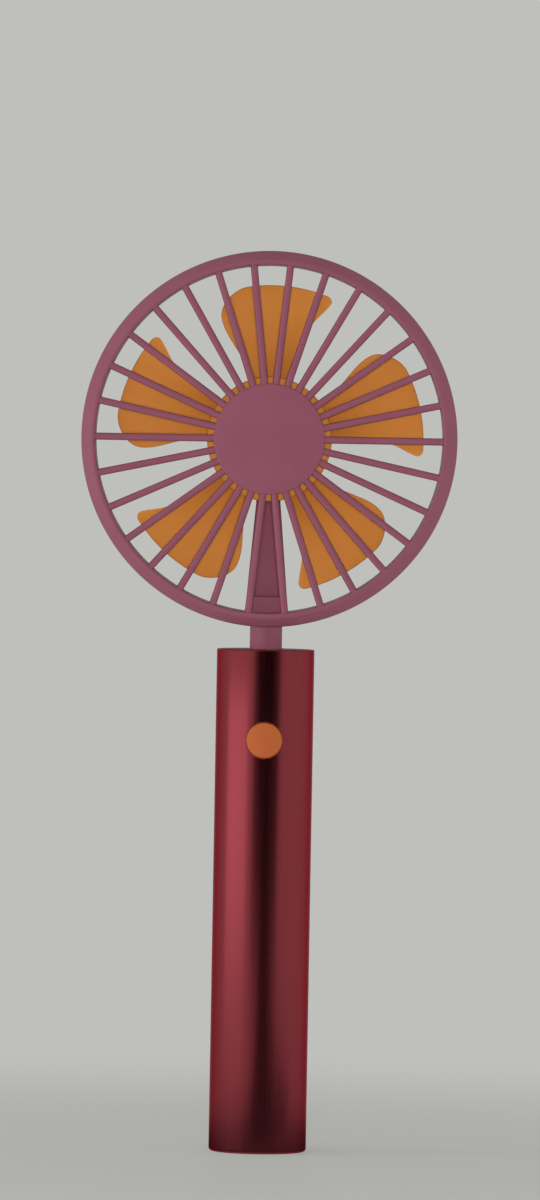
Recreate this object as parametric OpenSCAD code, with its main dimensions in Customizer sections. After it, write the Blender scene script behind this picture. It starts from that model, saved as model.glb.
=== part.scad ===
// Handheld rechargeable fan: a round caged fan head on a short neck, over a slim tubular
// handle that holds the cell, the circuit board, the push button and the charging socket.
// Millimetres. +Z is up, the front faces -Y, and the origin is the middle of the handle's foot.

/* [Handle] */
// Outside diameter of the handle tube
handle_d = 26; // [23.5:0.5:32]
// Wall of the handle tube
handle_wall = 1.2; // [0.8:0.1:1.6]
// Length of the handle tube
handle_l = 134; // [121:1:170]
// Rounding of the tube's lower outer edge
foot_edge = 0.9; // [0.2:0.1:1]
// Rounding of the tube's upper outer edge
top_edge = 0.3; // [0.1:0.1:0.8]
// Height of the plug in the top of the tube
top_cap_h = 9; // [6:0.5:9.5]
// Height of the plug in the foot of the tube
foot_cap_h = 7; // [5:0.5:7.5]
// Distance of each foot screw from the middle
foot_screw_x = 7; // [4:0.5:8]
// Length of the foot screws
foot_screw_l = 9.4; // [8:0.2:10]

/* [Head] */
// Outside diameter of the fan head
head_d = 100; // [90:1:130]
// Depth of the fan head's rim, front to back
head_depth = 22.4; // [21.8:0.2:28]
// Clear height of the neck between the handle and the head
neck_gap = 6; // [3:0.5:14]
// Radial width of the rim
rim_w = 3.7; // [3:0.1:6]
// Rounding of the rim's outer edges
rim_edge = 1.5; // [0.5:0.1:1.8]
// Depth of the front grille's share of the rim
front_rim_depth = 6; // [5:0.2:6]
// Height of the lap that locates the two rims
lap_h = 1.6; // [1:0.1:2]
// Thickness of the lap
lap_w = 1.4; // [0.8:0.1:1.6]

/* [Grilles] */
// Number of spokes in a full ring
spoke_n = 30; // [18:2:36]
// Width of a spoke
spoke_w = 1.9; // [1.2:0.1:2.4]
// Depth of a spoke, front to back
spoke_t = 2.4; // [1.6:0.1:2.8]
// Bevel along the outer edges of a spoke
spoke_bevel = 0.5; // [0.1:0.1:0.6]
// Depth of the spokes' faces below the rim's face
spoke_recess = 0.3; // [0.1:0.1:0.8]
// Diameter of the plain disc in the middle of the front grille
disc_d = 29.5; // [24:0.5:32]
// Thickness of that disc
disc_t = 2.4; // [1.6:0.1:2.6]
// Width of the rear strut at the motor housing
strut_w_in = 6; // [5.6:0.1:7]
// Width of the rear strut at the rim
strut_w_out = 11.5; // [10:0.1:14]
// Depth of the rear strut, front to back
strut_depth = 7; // [6:0.1:7.4]
// Wall of the rear strut round its wire channel
strut_wall = 1.3; // [0.8:0.1:1.4]
// Radius of the rear cover's round end
cover_r = 16.5; // [16:0.1:17.5]
// Thickness of the rear cover
cover_t = 2.1; // [1.8:0.1:3]

/* [Impeller] */
// Number of blades
blade_n = 5; // [3:1:7]
// Gap between the blade tips and the rim
blade_gap = 5.3; // [5:0.1:8]
// Thickness of a blade in the middle of its chord
blade_t = 1.5; // [1:0.1:1.8]
// Thickness of a blade at its edges
blade_edge_t = 0.8; // [0.6:0.1:1]
// Angle from a blade's middle to its leading edge
lead_half = 17.5; // [15:0.5:20]
// Angle from a blade's middle to its trailing edge
trail_half = 16.5; // [15:0.5:20]
// Further angle that the leading edge bulges out
lead_bulge = 5.5; // [0:0.5:7]
// Further angle that the trailing edge flares out at the tip
trail_flare = 7.5; // [0:0.5:8]
// Radius of the blade's leading corner
lead_corner = 6; // [3:0.5:9]
// Radius of the blade's trailing corner
trail_corner = 2; // [1:0.5:5]
// Outside diameter of the hub
hub_d = 33.2; // [33:0.2:38]
// Depth of the hub, front to back
hub_depth = 10.1; // [8:0.1:10.3]
// Side wall of the hub
hub_wall = 1.5; // [1:0.1:1.8]
// Front wall of the hub
hub_face_t = 1.6; // [1.2:0.1:1.8]
// Gap between the hub and the front grille
hub_gap = 0.9; // [0.6:0.1:1.2]
// Diameter of the boss that grips the shaft
hub_boss_d = 6.4; // [5:0.2:8]

/* [Motor] */
// Outside diameter of the motor
motor_d = 24.4; // [23.6:0.2:24.8]
// Length of the motor body
motor_l = 10.8; // [10.6:0.1:11.2]
// Wall of the motor can
motor_wall = 0.8; // [0.6:0.1:1]
// Thickness of the motor's end cap
end_cap_t = 1.2; // [1:0.1:1.4]
// Diameter of the shaft
shaft_d = 2; // [1.5:0.1:2.4]
// Outside diameter of the two bushes
bush_d = 4; // [3.4:0.1:4.4]
// Diameter of the boss round the front bush
motor_boss_d = 6.2; // [5.4:0.1:7]
// Radial thickness of the magnets
magnet_t = 2; // [1.4:0.1:2.4]
// Gap between the magnets and the armature
air_gap = 0.4; // [0.3:0.1:0.8]
// Stack height of the armature core
core_h = 3.4; // [2.6:0.1:3.6]
// Overhang of the windings at each end of the core
winding_over = 0.8; // [0.5:0.1:0.9]
// Diameter of the commutator
commutator_d = 4.8; // [4:0.1:5.4]
// Radius of the circle of the two motor screws
motor_screw_r = 8; // [6.5:0.1:8.8]
// Wall of the motor housing
housing_wall = 1.85; // [1.4:0.05:1.95]
// Front wall of the motor housing
housing_face_t = 1.6; // [1.2:0.1:1.7]
// Space for the wires behind the motor
motor_back_gap = 1.8; // [1.6:0.1:2.2]

/* [Neck] */
// Outside diameter of the neck
neck_d = 8.6; // [8:0.2:10]
// Diameter of the wire passage through the neck
neck_bore_d = 4.6; // [3.6:0.1:5]
// Diameter of the tenon in the head
tenon_d = 7; // [6.6:0.1:7.4]
// Length of the tenon above the rim's outer face
tenon_l = 4.8; // [4.5:0.1:5.2]
// Diameter of the flange under the top plug
neck_flange_d = 13; // [11:0.5:18]
// Thickness of that flange
neck_flange_t = 2; // [1.5:0.1:2.4]

/* [Button] */
// Diameter of the power button
button_d = 9.5; // [7:0.1:10]
// Distance of the button's middle below the top of the handle
button_drop = 24; // [23:0.5:25]
// Height of the button's edge above the tube
button_proud = 0.2; // [0:0.1:0.6]
// Height of the button's crown above its edge
button_crown = 0.6; // [0.3:0.1:1]
// Travel of the button
button_travel = 0.5; // [0.2:0.1:0.7]
// Diameter of the flange that keeps the button in
button_flange_d = 11.6; // [11:0.1:12.4]
// Thickness of that flange
button_flange_t = 1; // [0.6:0.1:1.4]
// Diameter of the button's stem
button_stem_d = 4; // [3:0.1:5]
// Length of the stem behind the flange
button_stem_l = 2.4; // [1.6:0.1:3]
// Side of the switch's square body
switch_w = 6; // [5:0.1:6.4]
// Height of the switch's body above the board
switch_h = 3.5; // [3:0.1:3.8]
// Diameter of the switch's plunger
plunger_d = 3.4; // [2.4:0.1:4]
// Length of the plunger inside the switch at rest
plunger_in = 1; // [0.6:0.1:1.2]

/* [Charging socket] */
// Long side of the socket's shell
usb_w = 8.94; // [8.6:0.01:9.2]
// Short side of the socket's shell
usb_h = 3.16; // [3:0.01:3.4]
// Wall of the socket's shell
usb_wall = 0.3; // [0.2:0.05:0.35]
// Distance of the socket's middle below the top of the handle
usb_drop = 34; // [33:0.5:36]
// Width of the tongue in the socket
tongue_w = 6.4; // [6:0.1:6.8]
// Thickness of the tongue in the socket
tongue_t = 0.7; // [0.6:0.05:0.8]
// Depth of the shell's rim behind the tube's surface
usb_recess = 0.3; // [0.2:0.1:0.8]

/* [Inside the handle] */
// Side wall of the inner frame round the cell
frame_wall = 2.25; // [1.6:0.05:2.6]
// Length of the cell over its button
cell_l = 65; // [50:0.5:78]
// Height of the cell's button
cell_nub_h = 0.8; // [0.4:0.1:1.2]
// Diameter of the cell's button
cell_nub_d = 6.4; // [5:0.1:8]
// Thickness of the contact tabs
tab_t = 0.3; // [0.2:0.05:0.4]
// Width of the contact tabs
tab_w = 5; // [3:0.5:6]
// Floor of the inner frame
floor_t = 3.6; // [3.2:0.1:4]
// Thickness of the bulkhead above the cell
bulkhead_t = 2; // [1.4:0.1:2.4]
// Room for the lead between the cell and the bulkhead
bulkhead_gap = 2; // [1.6:0.1:2.4]
// Thickness of the frame's top plate
plate_t = 2.4; // [1.6:0.1:2.4]
// Diameter of the wire hole in the top plate
plate_hole_d = 6.8; // [5:0.1:8]
// Gap between the circuit board's sides and the inner frame
board_side_gap = 0.6; // [0.4:0.1:1.6]
// Height of the circuit board
board_l = 26; // [25:0.5:32]
// Thickness of the circuit board
board_t = 1; // [0.8:0.1:1.6]
// Distance of the board's front face behind the middle of the handle
board_y = 1; // [0.8:0.1:1.4]
// Distance of the board's upper edge below the top of the handle
board_drop = 14; // [13.8:0.1:14.4]

/* [Screws and fits] */
// Thread diameter of the small screws
screw_d = 1.6; // [1.2:0.1:1.8]
// Head diameter of the small screws
screw_head_d = 3; // [2.4:0.1:3.2]
// Head height of the small screws
screw_head_h = 0.9; // [0.6:0.1:1]
// Gap of parts that are seated or screwed together
seat_gap = 0.05; // [0.02:0.01:0.08]
// Gap of parts that slide in with room to spare
slide_gap = 0.2; // [0.12:0.02:0.24]
// Radial gap of the shaft in its bushes
run_gap = 0.03; // [0.02:0.01:0.05]
// Gap of the moving parts inside the motor and the housing
clear_gap = 0.6; // [0.4:0.1:0.8]

/* [Hidden] */

$fn = 64;

// Colours
shell_colour = "#8a4f61";
blade_colour = "#c0752b";
tube_colour = "#8c3a42";
button_colour = "#bb6234";
steel_colour = "#b9bcc0";
dark_colour = "#3a3a3e";
brass_colour = "#c9a35a";
copper_colour = "#b5672f";
board_colour = "#2f6b45";
cell_colour = "#4f7fa8";
red_colour = "#b02a2a";
black_colour = "#222222";

// How far a piece's own members sink into each other, and how far a cut runs past a face
root = 1;
past = 1;
// Steps in the arcs of turned outlines
arc_steps = 6;

// Heights along the handle
tube_ro = handle_d / 2;
tube_ri = tube_ro - handle_wall;
head_z = handle_l + neck_gap + head_d / 2;
button_z = handle_l - button_drop;
usb_z = handle_l - usb_drop;
cap_r = tube_ri - seat_gap;
top_cap_z = handle_l - top_cap_h;
flange_z = top_cap_z - neck_flange_t;

// Inner frame, cell and board
frame_ro = tube_ri - slide_gap;
frame_ri = frame_ro - frame_wall;
// The cell is the widest that slides into the frame
cell_d = 2 * (frame_ri - slide_gap);
frame_front = -cell_d / 4;
cell_z = foot_cap_h + floor_t + tab_t;
cell_top = cell_z + cell_l;
bulkhead_z = cell_top + tab_t + bulkhead_gap;
plate_z = flange_z - plate_t;
board_top = handle_l - board_drop;
board_foot = board_top - board_l;
board_back = board_y + board_t;
board_w = 2 * (sqrt(pow(frame_ri, 2) - pow(board_back, 2)) - board_side_gap);
board_screw_in = 2.2;
board_screw_drop = 3;
board_post_d = 3.8;
board_screw_l = 3.6;
board_screw_places = [
  [-(board_w / 2 - board_screw_in), board_top - board_screw_drop],
  [board_w / 2 - board_screw_in, board_foot + board_screw_drop]
];
// Each chip has its place and size across and up the board, and its height
chips = [
  [3.2, 19, 4.4, 4.4, 1.2],
  [-4.2, 19, 4.4, 4.4, 1.6],
  [6, 13.6, 3, 3, 2]
];

// Depths along the fan's axis, measured to the rear from the middle of the head
rim_ro = head_d / 2;
rim_ri = rim_ro - rim_w;
face_front = -head_depth / 2;
face_rear = head_depth / 2;
rim_split = face_front + front_rim_depth;
spoke_pitch = 360 / spoke_n;
// Bevel of the rim's inner edge and the disc's edge, which stays above the spokes' faces
face_bevel = spoke_recess / 2;
motor_rear = face_rear - motor_back_gap;
motor_front = motor_rear - motor_l;
housing_front = motor_front - housing_face_t;
housing_ri = motor_d / 2 + slide_gap;
housing_ro = housing_ri + housing_wall;
strut_front = face_rear - strut_depth;
hub_r = hub_d / 2;
hub_front = face_front + spoke_recess + spoke_t + hub_gap;
hub_rear = hub_front + hub_depth;
hub_boss_rear = housing_front - clear_gap;

// Neck seat in the head
tenon_in_r = rim_ro - tenon_l;
wire_room = 2.2;
seat_wall = 1;
seat_in_r = tenon_in_r - wire_room - seat_wall;
seat_front = -(tenon_d / 2 + seat_wall);
neck_screw_r = (tenon_in_r + rim_ro) / 2 - seat_wall;
neck_screw_l = face_rear - screw_head_h - neck_bore_d / 2 - slide_gap * 2;

// Rear cover and its screws
cover_post_d = 3.6;
cover_screw_r = housing_ri + cover_post_d / 2 + slide_gap;
cover_screw_angles = [-150, -30];
cover_end_r = neck_screw_r - screw_head_d / 2 - slide_gap * 2;
strut_screw_r = cover_end_r - cover_post_d;
cover_screw_l = 5;
cover_seat_t = cover_t - screw_head_h - slide_gap;

// Motor inside
shaft_r = shaft_d / 2;
shaft_front = hub_front + hub_face_t / 2;
shaft_rear = motor_rear - slide_gap;
cap_front = motor_rear - end_cap_t;
can_ri = motor_d / 2 - motor_wall;
magnet_ro = can_ri - seat_gap;
magnet_ri = magnet_ro - magnet_t;
core_r = magnet_ri - air_gap;
core_front = motor_front + motor_wall + clear_gap + winding_over + 0.8;
bush_in = 0.8;
pole_n = 3;
pole_w = 3;
pole_half_angle = 48;
pole_shoe_t = 1.3;
core_hub_r = 3;
winding_w = 6;
commutator_front = core_front + core_h + winding_over + slide_gap;
commutator_rear = cap_front - bush_in / 2 - slide_gap;
brush_t = commutator_rear - commutator_front - 2 * slide_gap;
brush_w = 1.2;
terminal_x = 6.2;
terminal_t = 0.8;
terminal_w = 2;
terminal_out = 1.4;

// Leads: a route is a list of points chosen by hand, in stretches measured from the level they keep to
wire_d = 1.1;
wire_sides = 8;
tab_lead_y = -(cell_d / 2 + wire_d);
function moved(place, points) = [for (p = points) place + p];
motor_route = concat(
  moved([0, 0, board_top], [[2.6, 0.4, -4.5], [2.5, 0.4, -2], [1.8, 0.2, 0.4]]),
  moved([0, 0, flange_z], [[1, 0, -0.4], [0.8, 0, 2]]),
  moved([0, 0, head_z - rim_ro], [
    [0.8, 0, 2.4], [0.8, 0.4, 4.2], [0.8, 1.6, 5.6], [0.8, 3, 6.1], [0.9, 5, 6.3]
  ]),
  moved([0, face_rear, head_z - rim_ro], [
    [1.7, -4.2, 6.6], [2.6, -3, 8.2], [2.9, -2.6, 10.4], [2.6, -2.6, 14]
  ]),
  moved([0, face_rear, head_z], [
    [1.6, -2.5, -28], [0.9, -2.3, -20], [0.9, -1.8, -16.6], [0.9, -1.2, -14.2], [1, -1.1, -11.6],
    [2.6, -1.1, -9.6], [4.6, -1.1, -7.8], [6, -1.1, -6], [6.6, -1.1, -3.4], [6.6, -1.1, -1.1]
  ])
);
red_battery_route = concat(
  moved([0, 0, cell_top], [
    [0, -1.6, 0.9], [0, -4.6, 0.9], [-0.3, -6.4, 1.3], [-0.8, -7.3, 2.9]
  ]),
  moved([0, board_y, board_foot], [
    [-2.2, -8.2, -2.5], [-3.6, -6.4, -0.6], [-4.8, -3.2, 1], [-5.2, -1, 2], [-5.2, -0.6, 3],
    [-5.2, -0.6, 4.4]
  ])
);
black_battery_route = concat(
  moved([0, tab_lead_y, cell_z], [[0, 0, 0.1], [0, 0, 3.1]]),
  moved([0, tab_lead_y, cell_top], [[0, 0, -1.9], [0.2, 0.2, 1.6]]),
  moved([0, board_y, board_foot], [
    [0.6, -8.8, -2.5], [0.7, -6.6, -0.6], [0.7, -3.4, 1], [0.7, -1, 2], [0.7, -0.6, 3],
    [0.7, -0.6, 4.4]
  ])
);

// Points on an arc about a centre, between two angles
function arc(centre, r, from, to) = [
  for (i = [0:arc_steps])
    let (a = from + (to - from) * i / arc_steps) centre + r * [cos(a), sin(a)]
];

// Points of a rounded slot, long along Y
function slot_points(long, short) = concat(
  arc([0, (long - short) / 2], short / 2, 0, 180),
  arc([0, -(long - short) / 2], short / 2, 180, 360)
);

// Half the width of the rear strut at a radius
function strut_half(r) =
  (strut_w_in + (strut_w_out - strut_w_in) * (r - housing_ro) / (rim_ri - housing_ro)) / 2;

// Outline of the rear strut between two radii, narrowed by a wall
function strut_points(inner_r, outer_r, wall) = [
  [-(strut_half(inner_r) - wall), inner_r],
  [strut_half(inner_r) - wall, inner_r],
  [strut_half(outer_r) - wall, outer_r],
  [-(strut_half(outer_r) - wall), outer_r]
];

// Puts a shape on the fan's axis: its Z runs to the rear, and its Y runs down
module on_fan_axis() {
  translate([0, 0, head_z]) rotate([-90, 0, 0]) children();
}

// Puts a shape on the button's axis: its Z runs to the front
module on_button_axis() {
  translate([0, 0, button_z]) rotate([90, 0, 0]) children();
}

// Puts a shape on the socket's axis: its Z runs to the rear
module on_socket_axis() {
  translate([0, 0, usb_z]) rotate([-90, 0, 0]) children();
}

// Pan-head screw that points down, with the underside of its head at zero
module pan_screw(length) {
  slot_w = screw_head_d / 6;
  difference() {
    union() {
      cylinder(d = screw_head_d, h = screw_head_h);
      translate([0, 0, -length]) cylinder(d = screw_d, h = length + screw_head_h / 2);
    }
    for (turn = [0, 90])
      rotate(turn)
        translate([-screw_head_d / 3, -slot_w / 2, screw_head_h / 2])
          cube([screw_head_d * 2 / 3, slot_w, screw_head_h]);
  }
}

// Hole for a small screw, pointing down from zero
module screw_hole(length) {
  translate([0, 0, -length]) cylinder(d = screw_d + 2 * seat_gap, h = length + past);
}

// Section of a rim with its rounded face at the given depth
module rim_section(depth) {
  polygon(concat(
    [[rim_ri, 0], [rim_ro, 0]],
    arc([rim_ro - rim_edge, depth - rim_edge], rim_edge, 0, 90),
    [[rim_ri + face_bevel, depth], [rim_ri, depth - face_bevel]]
  ));
}

// One spoke along X with its back at zero and its bevelled face upwards
module spoke(inner_r) {
  half = spoke_w / 2;
  translate([inner_r - root, 0, 0])
    rotate([90, 0, 90])
      linear_extrude(rim_ri - inner_r + 2 * root)
        polygon([
          [-half, 0], [half, 0], [half, spoke_t - spoke_bevel], [half - spoke_bevel, spoke_t],
          [spoke_bevel - half, spoke_t], [-half, spoke_t - spoke_bevel]
        ]);
}

// Ring of spokes, less those next to the lowest point on each side
module spoke_ring(inner_r, left_out) {
  for (i = [left_out:spoke_n - 1 - left_out])
    rotate(90 + spoke_pitch * (i + 0.5)) spoke(inner_r);
}

module front_grille() {
  color(shell_colour) on_fan_axis() {
    translate([0, 0, rim_split])
      mirror([0, 0, 1])
        rotate_extrude()
          difference() {
            rim_section(front_rim_depth);
            translate([rim_ri - past, -past])
              square([lap_w + seat_gap + past, lap_h + slide_gap + past]);
          }
    translate([0, 0, face_front + spoke_recess + spoke_t])
      mirror([0, 0, 1]) spoke_ring(disc_d / 2, 0);
    translate([0, 0, face_front + disc_t])
      mirror([0, 0, 1])
        rotate_extrude()
          polygon([
            [0, 0], [disc_d / 2, 0], [disc_d / 2, disc_t - face_bevel],
            [disc_d / 2 - face_bevel, disc_t], [0, disc_t]
          ]);
  }
}

// Outline of the rear grille's solid middle: motor housing, posts of the cover screws and strut
module housing_outline() {
  circle(r = housing_ro);
  for (a = cover_screw_angles)
    rotate(a) translate([cover_screw_r, 0]) circle(d = cover_post_d);
  polygon(strut_points(housing_ro - root, rim_ri + root, 0));
}

// Rim, spokes, motor housing, strut and neck seat of the rear grille, before its holes
module rear_grille_body() {
  translate([0, 0, rim_split])
    rotate_extrude() {
      rim_section(head_depth - front_rim_depth);
      translate([rim_ri, -lap_h]) square([lap_w, lap_h + root]);
    }
  translate([0, 0, face_rear - spoke_recess - spoke_t]) spoke_ring(housing_ro, 1);
  translate([0, 0, housing_front]) cylinder(r = housing_ro, h = strut_front - housing_front);
  translate([0, 0, strut_front]) linear_extrude(strut_depth) housing_outline();
  seat_half = strut_half(seat_in_r);
  translate([-seat_half, seat_in_r, seat_front])
    cube([2 * seat_half, rim_ri - seat_in_r + root, strut_front - seat_front + root]);
}

// Wire channel along the strut, with the post for the lower cover screw left standing
module strut_channel() {
  difference() {
    translate([0, 0, strut_front + strut_wall])
      linear_extrude(strut_depth)
        polygon(strut_points(housing_ri + root, tenon_in_r - seat_wall / 2, strut_wall));
    translate([0, strut_screw_r, strut_front]) cylinder(d = cover_post_d, h = strut_depth);
  }
}

module rear_grille() {
  notch_w = strut_w_in - 2 * strut_wall;
  room_half = neck_bore_d / 2;
  color(shell_colour) on_fan_axis() difference() {
    rear_grille_body();
    translate([0, 0, motor_front])
      cylinder(r = housing_ri, h = face_rear - motor_front + past);
    translate([0, 0, housing_front - past])
      cylinder(d = motor_boss_d + 2 * slide_gap, h = housing_face_t + 2 * past);
    for (side = [-1, 1])
      translate([side * motor_screw_r, 0, motor_front]) screw_hole(housing_face_t + past);
    strut_channel();
    translate([-notch_w / 2, housing_ri - root, motor_rear - slide_gap])
      cube([notch_w, housing_wall + 2 * root, motor_back_gap + slide_gap + past]);
    translate([0, tenon_in_r - seat_gap, 0])
      rotate([-90, 0, 0]) cylinder(d = tenon_d + 2 * seat_gap, h = tenon_l + past);
    translate([-room_half, seat_in_r + seat_wall, -room_half])
      cube([2 * room_half, wire_room, strut_front + strut_wall + past + room_half]);
    translate([0, neck_screw_r, face_rear - screw_head_h]) {
      screw_hole(face_rear);
      cylinder(d = screw_head_d + 2 * slide_gap, h = screw_head_h + past);
    }
    for (a = cover_screw_angles)
      rotate(a) translate([cover_screw_r, 0, face_rear]) screw_hole(cover_screw_l);
    translate([0, strut_screw_r, face_rear]) screw_hole(cover_screw_l);
  }
}

// Places a shape at each cover screw, on the rear face of the head
module at_cover_screws() {
  for (a = cover_screw_angles)
    rotate(a) translate([cover_screw_r, 0, face_rear]) children();
  translate([0, strut_screw_r, face_rear]) children();
}

module rear_cover() {
  color(shell_colour) on_fan_axis() difference() {
    translate([0, 0, face_rear])
      linear_extrude(cover_t) {
        circle(r = cover_r);
        polygon(strut_points(housing_ro - root, cover_end_r, 0));
      }
    translate([0, 0, face_rear - past])
      cylinder(r = cover_screw_r - cover_post_d / 2, h = past + cover_t / 3);
    at_cover_screws() {
      screw_hole(past);
      translate([0, 0, cover_seat_t])
        cylinder(d = screw_head_d + 2 * slide_gap, h = cover_t);
    }
  }
}

module cover_screws() {
  color(steel_colour) on_fan_axis()
    at_cover_screws() translate([0, 0, cover_seat_t]) pan_screw(cover_screw_l);
}

// Share of the way out from the hub to the tip, and powers of it that place the bulge and the flare
blade_tip_r = rim_ri - blade_gap;
blade_root_r = hub_r - hub_wall / 2;
blade_inset = 0.2;
blade_camber = 0.5;
bulge_power = 1.6;
flare_power = 2;
blade_stations = 9;
blade_steps = 7;
function reach(r) = (r - blade_root_r) / (blade_tip_r - blade_root_r);

// Angle by which a round corner of the given radius draws an edge in at a radius
function corner_angle(r, c) =
  let (d = max(0, r - blade_tip_r + c))
    (c - sqrt(max(0, c * c - d * d))) / r * 180 / PI;

// Angles of the two edges of a blade at a radius
function lead_angle(r) =
  -(lead_half + lead_bulge * sin(180 * pow(reach(r), bulge_power))) + corner_angle(r, lead_corner);
function trail_angle(r) =
  trail_half + trail_flare * (1 - cos(180 * pow(reach(r), flare_power))) / 2
  - corner_angle(r, trail_corner);

// Point on the front or rear skin of a blade, at a share of its chord
function blade_point(r, share, side) =
  let (
    a = lead_angle(r) + (trail_angle(r) - lead_angle(r)) * share,
    rise = hub_depth - 2 * blade_inset - blade_t,
    half_t = (blade_edge_t + (blade_t - blade_edge_t) * sin(180 * share)) / 2,
    z = hub_rear - blade_inset - blade_t / 2 - rise * (share + blade_camber * share * (share - 1))
  )
    [r * cos(a), r * sin(a), z + side * half_t];

// One blade along X, lofted from loops of points at stations from the root to the tip
module blade() {
  loop = 2 * (blade_steps + 1);
  points = [
    for (i = [0:blade_stations])
      let (r = blade_root_r + (blade_tip_r - blade_root_r) * sin(90 * i / blade_stations))
        each concat(
          [for (j = [0:blade_steps]) blade_point(r, j / blade_steps, -1)],
          [for (j = [blade_steps:-1:0]) blade_point(r, j / blade_steps, 1)]
        )
  ];
  skin = [
    for (i = [0:blade_stations - 1], j = [0:loop - 1])
      let (a = i * loop + j, b = i * loop + (j + 1) % loop)
        each [[a, b + loop, b], [a, a + loop, b + loop]]
  ];
  ends = [
    for (j = [0:blade_steps - 1])
      let (k = loop - 1 - j, last = blade_stations * loop)
        each [
          [j, k - 1, k], [j, j + 1, k - 1],
          [last + j, last + k, last + k - 1], [last + j, last + k - 1, last + j + 1]
        ]
  ];
  polyhedron(points, concat(skin, ends));
}

module impeller() {
  hub_edge = hub_face_t / 2;
  color(blade_colour) on_fan_axis() {
    difference() {
      rotate_extrude()
        polygon(concat(
          [[0, hub_front]],
          arc([hub_r - hub_edge, hub_front + hub_edge], hub_edge, -90, 0),
          [
            [hub_r, hub_rear], [hub_r - hub_wall, hub_rear],
            [hub_r - hub_wall, hub_front + hub_face_t], [hub_boss_d / 2, hub_front + hub_face_t],
            [hub_boss_d / 2, hub_boss_rear], [0, hub_boss_rear]
          ]
        ));
      translate([0, 0, shaft_front]) cylinder(r = shaft_r, h = hub_boss_rear - shaft_front + past);
    }
    for (k = [0:blade_n - 1])
      rotate(k * 360 / blade_n - 90) blade();
  }
}

module motor_can() {
  boss_front = housing_front + slide_gap;
  color(steel_colour) on_fan_axis() difference() {
    union() {
      translate([0, 0, motor_front]) cylinder(d = motor_d, h = motor_l - end_cap_t);
      translate([0, 0, boss_front])
        cylinder(d = motor_boss_d, h = motor_front - boss_front + motor_wall / 2);
    }
    translate([0, 0, motor_front + motor_wall]) cylinder(r = can_ri, h = motor_l);
    translate([0, 0, boss_front - past]) cylinder(d = bush_d, h = motor_l);
    for (side = [-1, 1])
      translate([side * motor_screw_r, 0, motor_front + motor_wall]) screw_hole(motor_wall + past);
  }
}

module motor_end_cap() {
  color(dark_colour) on_fan_axis() difference() {
    translate([0, 0, cap_front]) cylinder(d = motor_d, h = end_cap_t);
    translate([0, 0, cap_front - past]) cylinder(d = bush_d, h = end_cap_t + 2 * past);
    for (side = [0, 180])
      rotate(side)
        translate([terminal_x - seat_gap, -terminal_w / 2 - seat_gap, cap_front - past])
          cube([terminal_t + 2 * seat_gap, terminal_w + 2 * seat_gap, end_cap_t + 2 * past]);
  }
}

module motor_magnets() {
  magnet_angle = 130;
  color(dark_colour) on_fan_axis()
    for (side = [90, -90])
      translate([0, 0, motor_front + motor_wall + slide_gap])
        rotate(side - magnet_angle / 2)
          rotate_extrude(angle = magnet_angle)
            translate([magnet_ri, 0]) square([magnet_t, motor_l - end_cap_t - motor_wall - 2 * slide_gap]);
}

// Ring on the fan's axis between two depths, running on the shaft
module bush(front, rear) {
  translate([0, 0, front]) difference() {
    cylinder(d = bush_d, h = rear - front);
    translate([0, 0, -past]) cylinder(r = shaft_r + run_gap, h = rear - front + 2 * past);
  }
}

module motor_bushes() {
  color(brass_colour) on_fan_axis() {
    bush(housing_front + slide_gap, motor_front + motor_wall + bush_in);
    bush(cap_front - bush_in / 2, motor_rear);
  }
}

module motor_shaft() {
  color(steel_colour) on_fan_axis()
    translate([0, 0, shaft_front]) cylinder(r = shaft_r, h = shaft_rear - shaft_front);
}

// Outline of the armature's arms, without its hub and shoes
module pole_arms(width, reach_r) {
  for (k = [0:pole_n - 1])
    rotate(k * 360 / pole_n) translate([0, -width / 2]) square([reach_r, width]);
}

module armature_core() {
  shoe_ri = core_r - pole_shoe_t;
  wedge = 2 * core_r;
  color(steel_colour) on_fan_axis()
    translate([0, 0, core_front])
      linear_extrude(core_h)
        difference() {
          union() {
            circle(r = core_hub_r);
            pole_arms(pole_w, core_r - pole_shoe_t / 2);
            intersection() {
              difference() {
                circle(r = core_r);
                circle(r = shoe_ri);
              }
              for (k = [0:pole_n - 1])
                rotate(k * 360 / pole_n)
                  polygon([
                    [0, 0],
                    wedge * [cos(pole_half_angle), -sin(pole_half_angle)],
                    [wedge * 2, 0],
                    wedge * [cos(pole_half_angle), sin(pole_half_angle)]
                  ]);
            }
          }
          circle(r = shaft_r);
        }
}

module armature_windings() {
  coil_in = core_hub_r + 2 * slide_gap;
  coil_out = core_r - pole_shoe_t - slide_gap;
  coil_h = core_h + 2 * winding_over;
  color(copper_colour) on_fan_axis()
    for (k = [0:pole_n - 1])
      rotate(k * 360 / pole_n)
        difference() {
          translate([0, 0, core_front - winding_over])
            intersection() {
              cylinder(r = coil_out, h = coil_h);
              translate([coil_in, -winding_w / 2, 0]) cube([coil_out, winding_w, coil_h]);
            }
          translate([0, -pole_w / 2, core_front])
            cube([core_r, pole_w, core_h]);
        }
}

module commutator() {
  color(copper_colour) on_fan_axis()
    translate([0, 0, commutator_front]) difference() {
      cylinder(d = commutator_d, h = commutator_rear - commutator_front);
      translate([0, 0, -past]) cylinder(r = shaft_r, h = commutator_rear - commutator_front + 2 * past);
    }
}

module motor_brushes() {
  brush_in = commutator_d / 2 + seat_gap * 2;
  color(brass_colour) on_fan_axis()
    for (side = [0, 180])
      rotate(side)
        translate([brush_in, -brush_w / 2, commutator_front + slide_gap])
          cube([terminal_x - brush_in, brush_w, brush_t]);
}

module motor_terminals() {
  color(brass_colour) on_fan_axis()
    for (side = [0, 180])
      rotate(side)
        translate([terminal_x, -terminal_w / 2, commutator_front + slide_gap])
          cube([terminal_t, terminal_w, motor_rear + terminal_out - commutator_front - slide_gap]);
}

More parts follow.
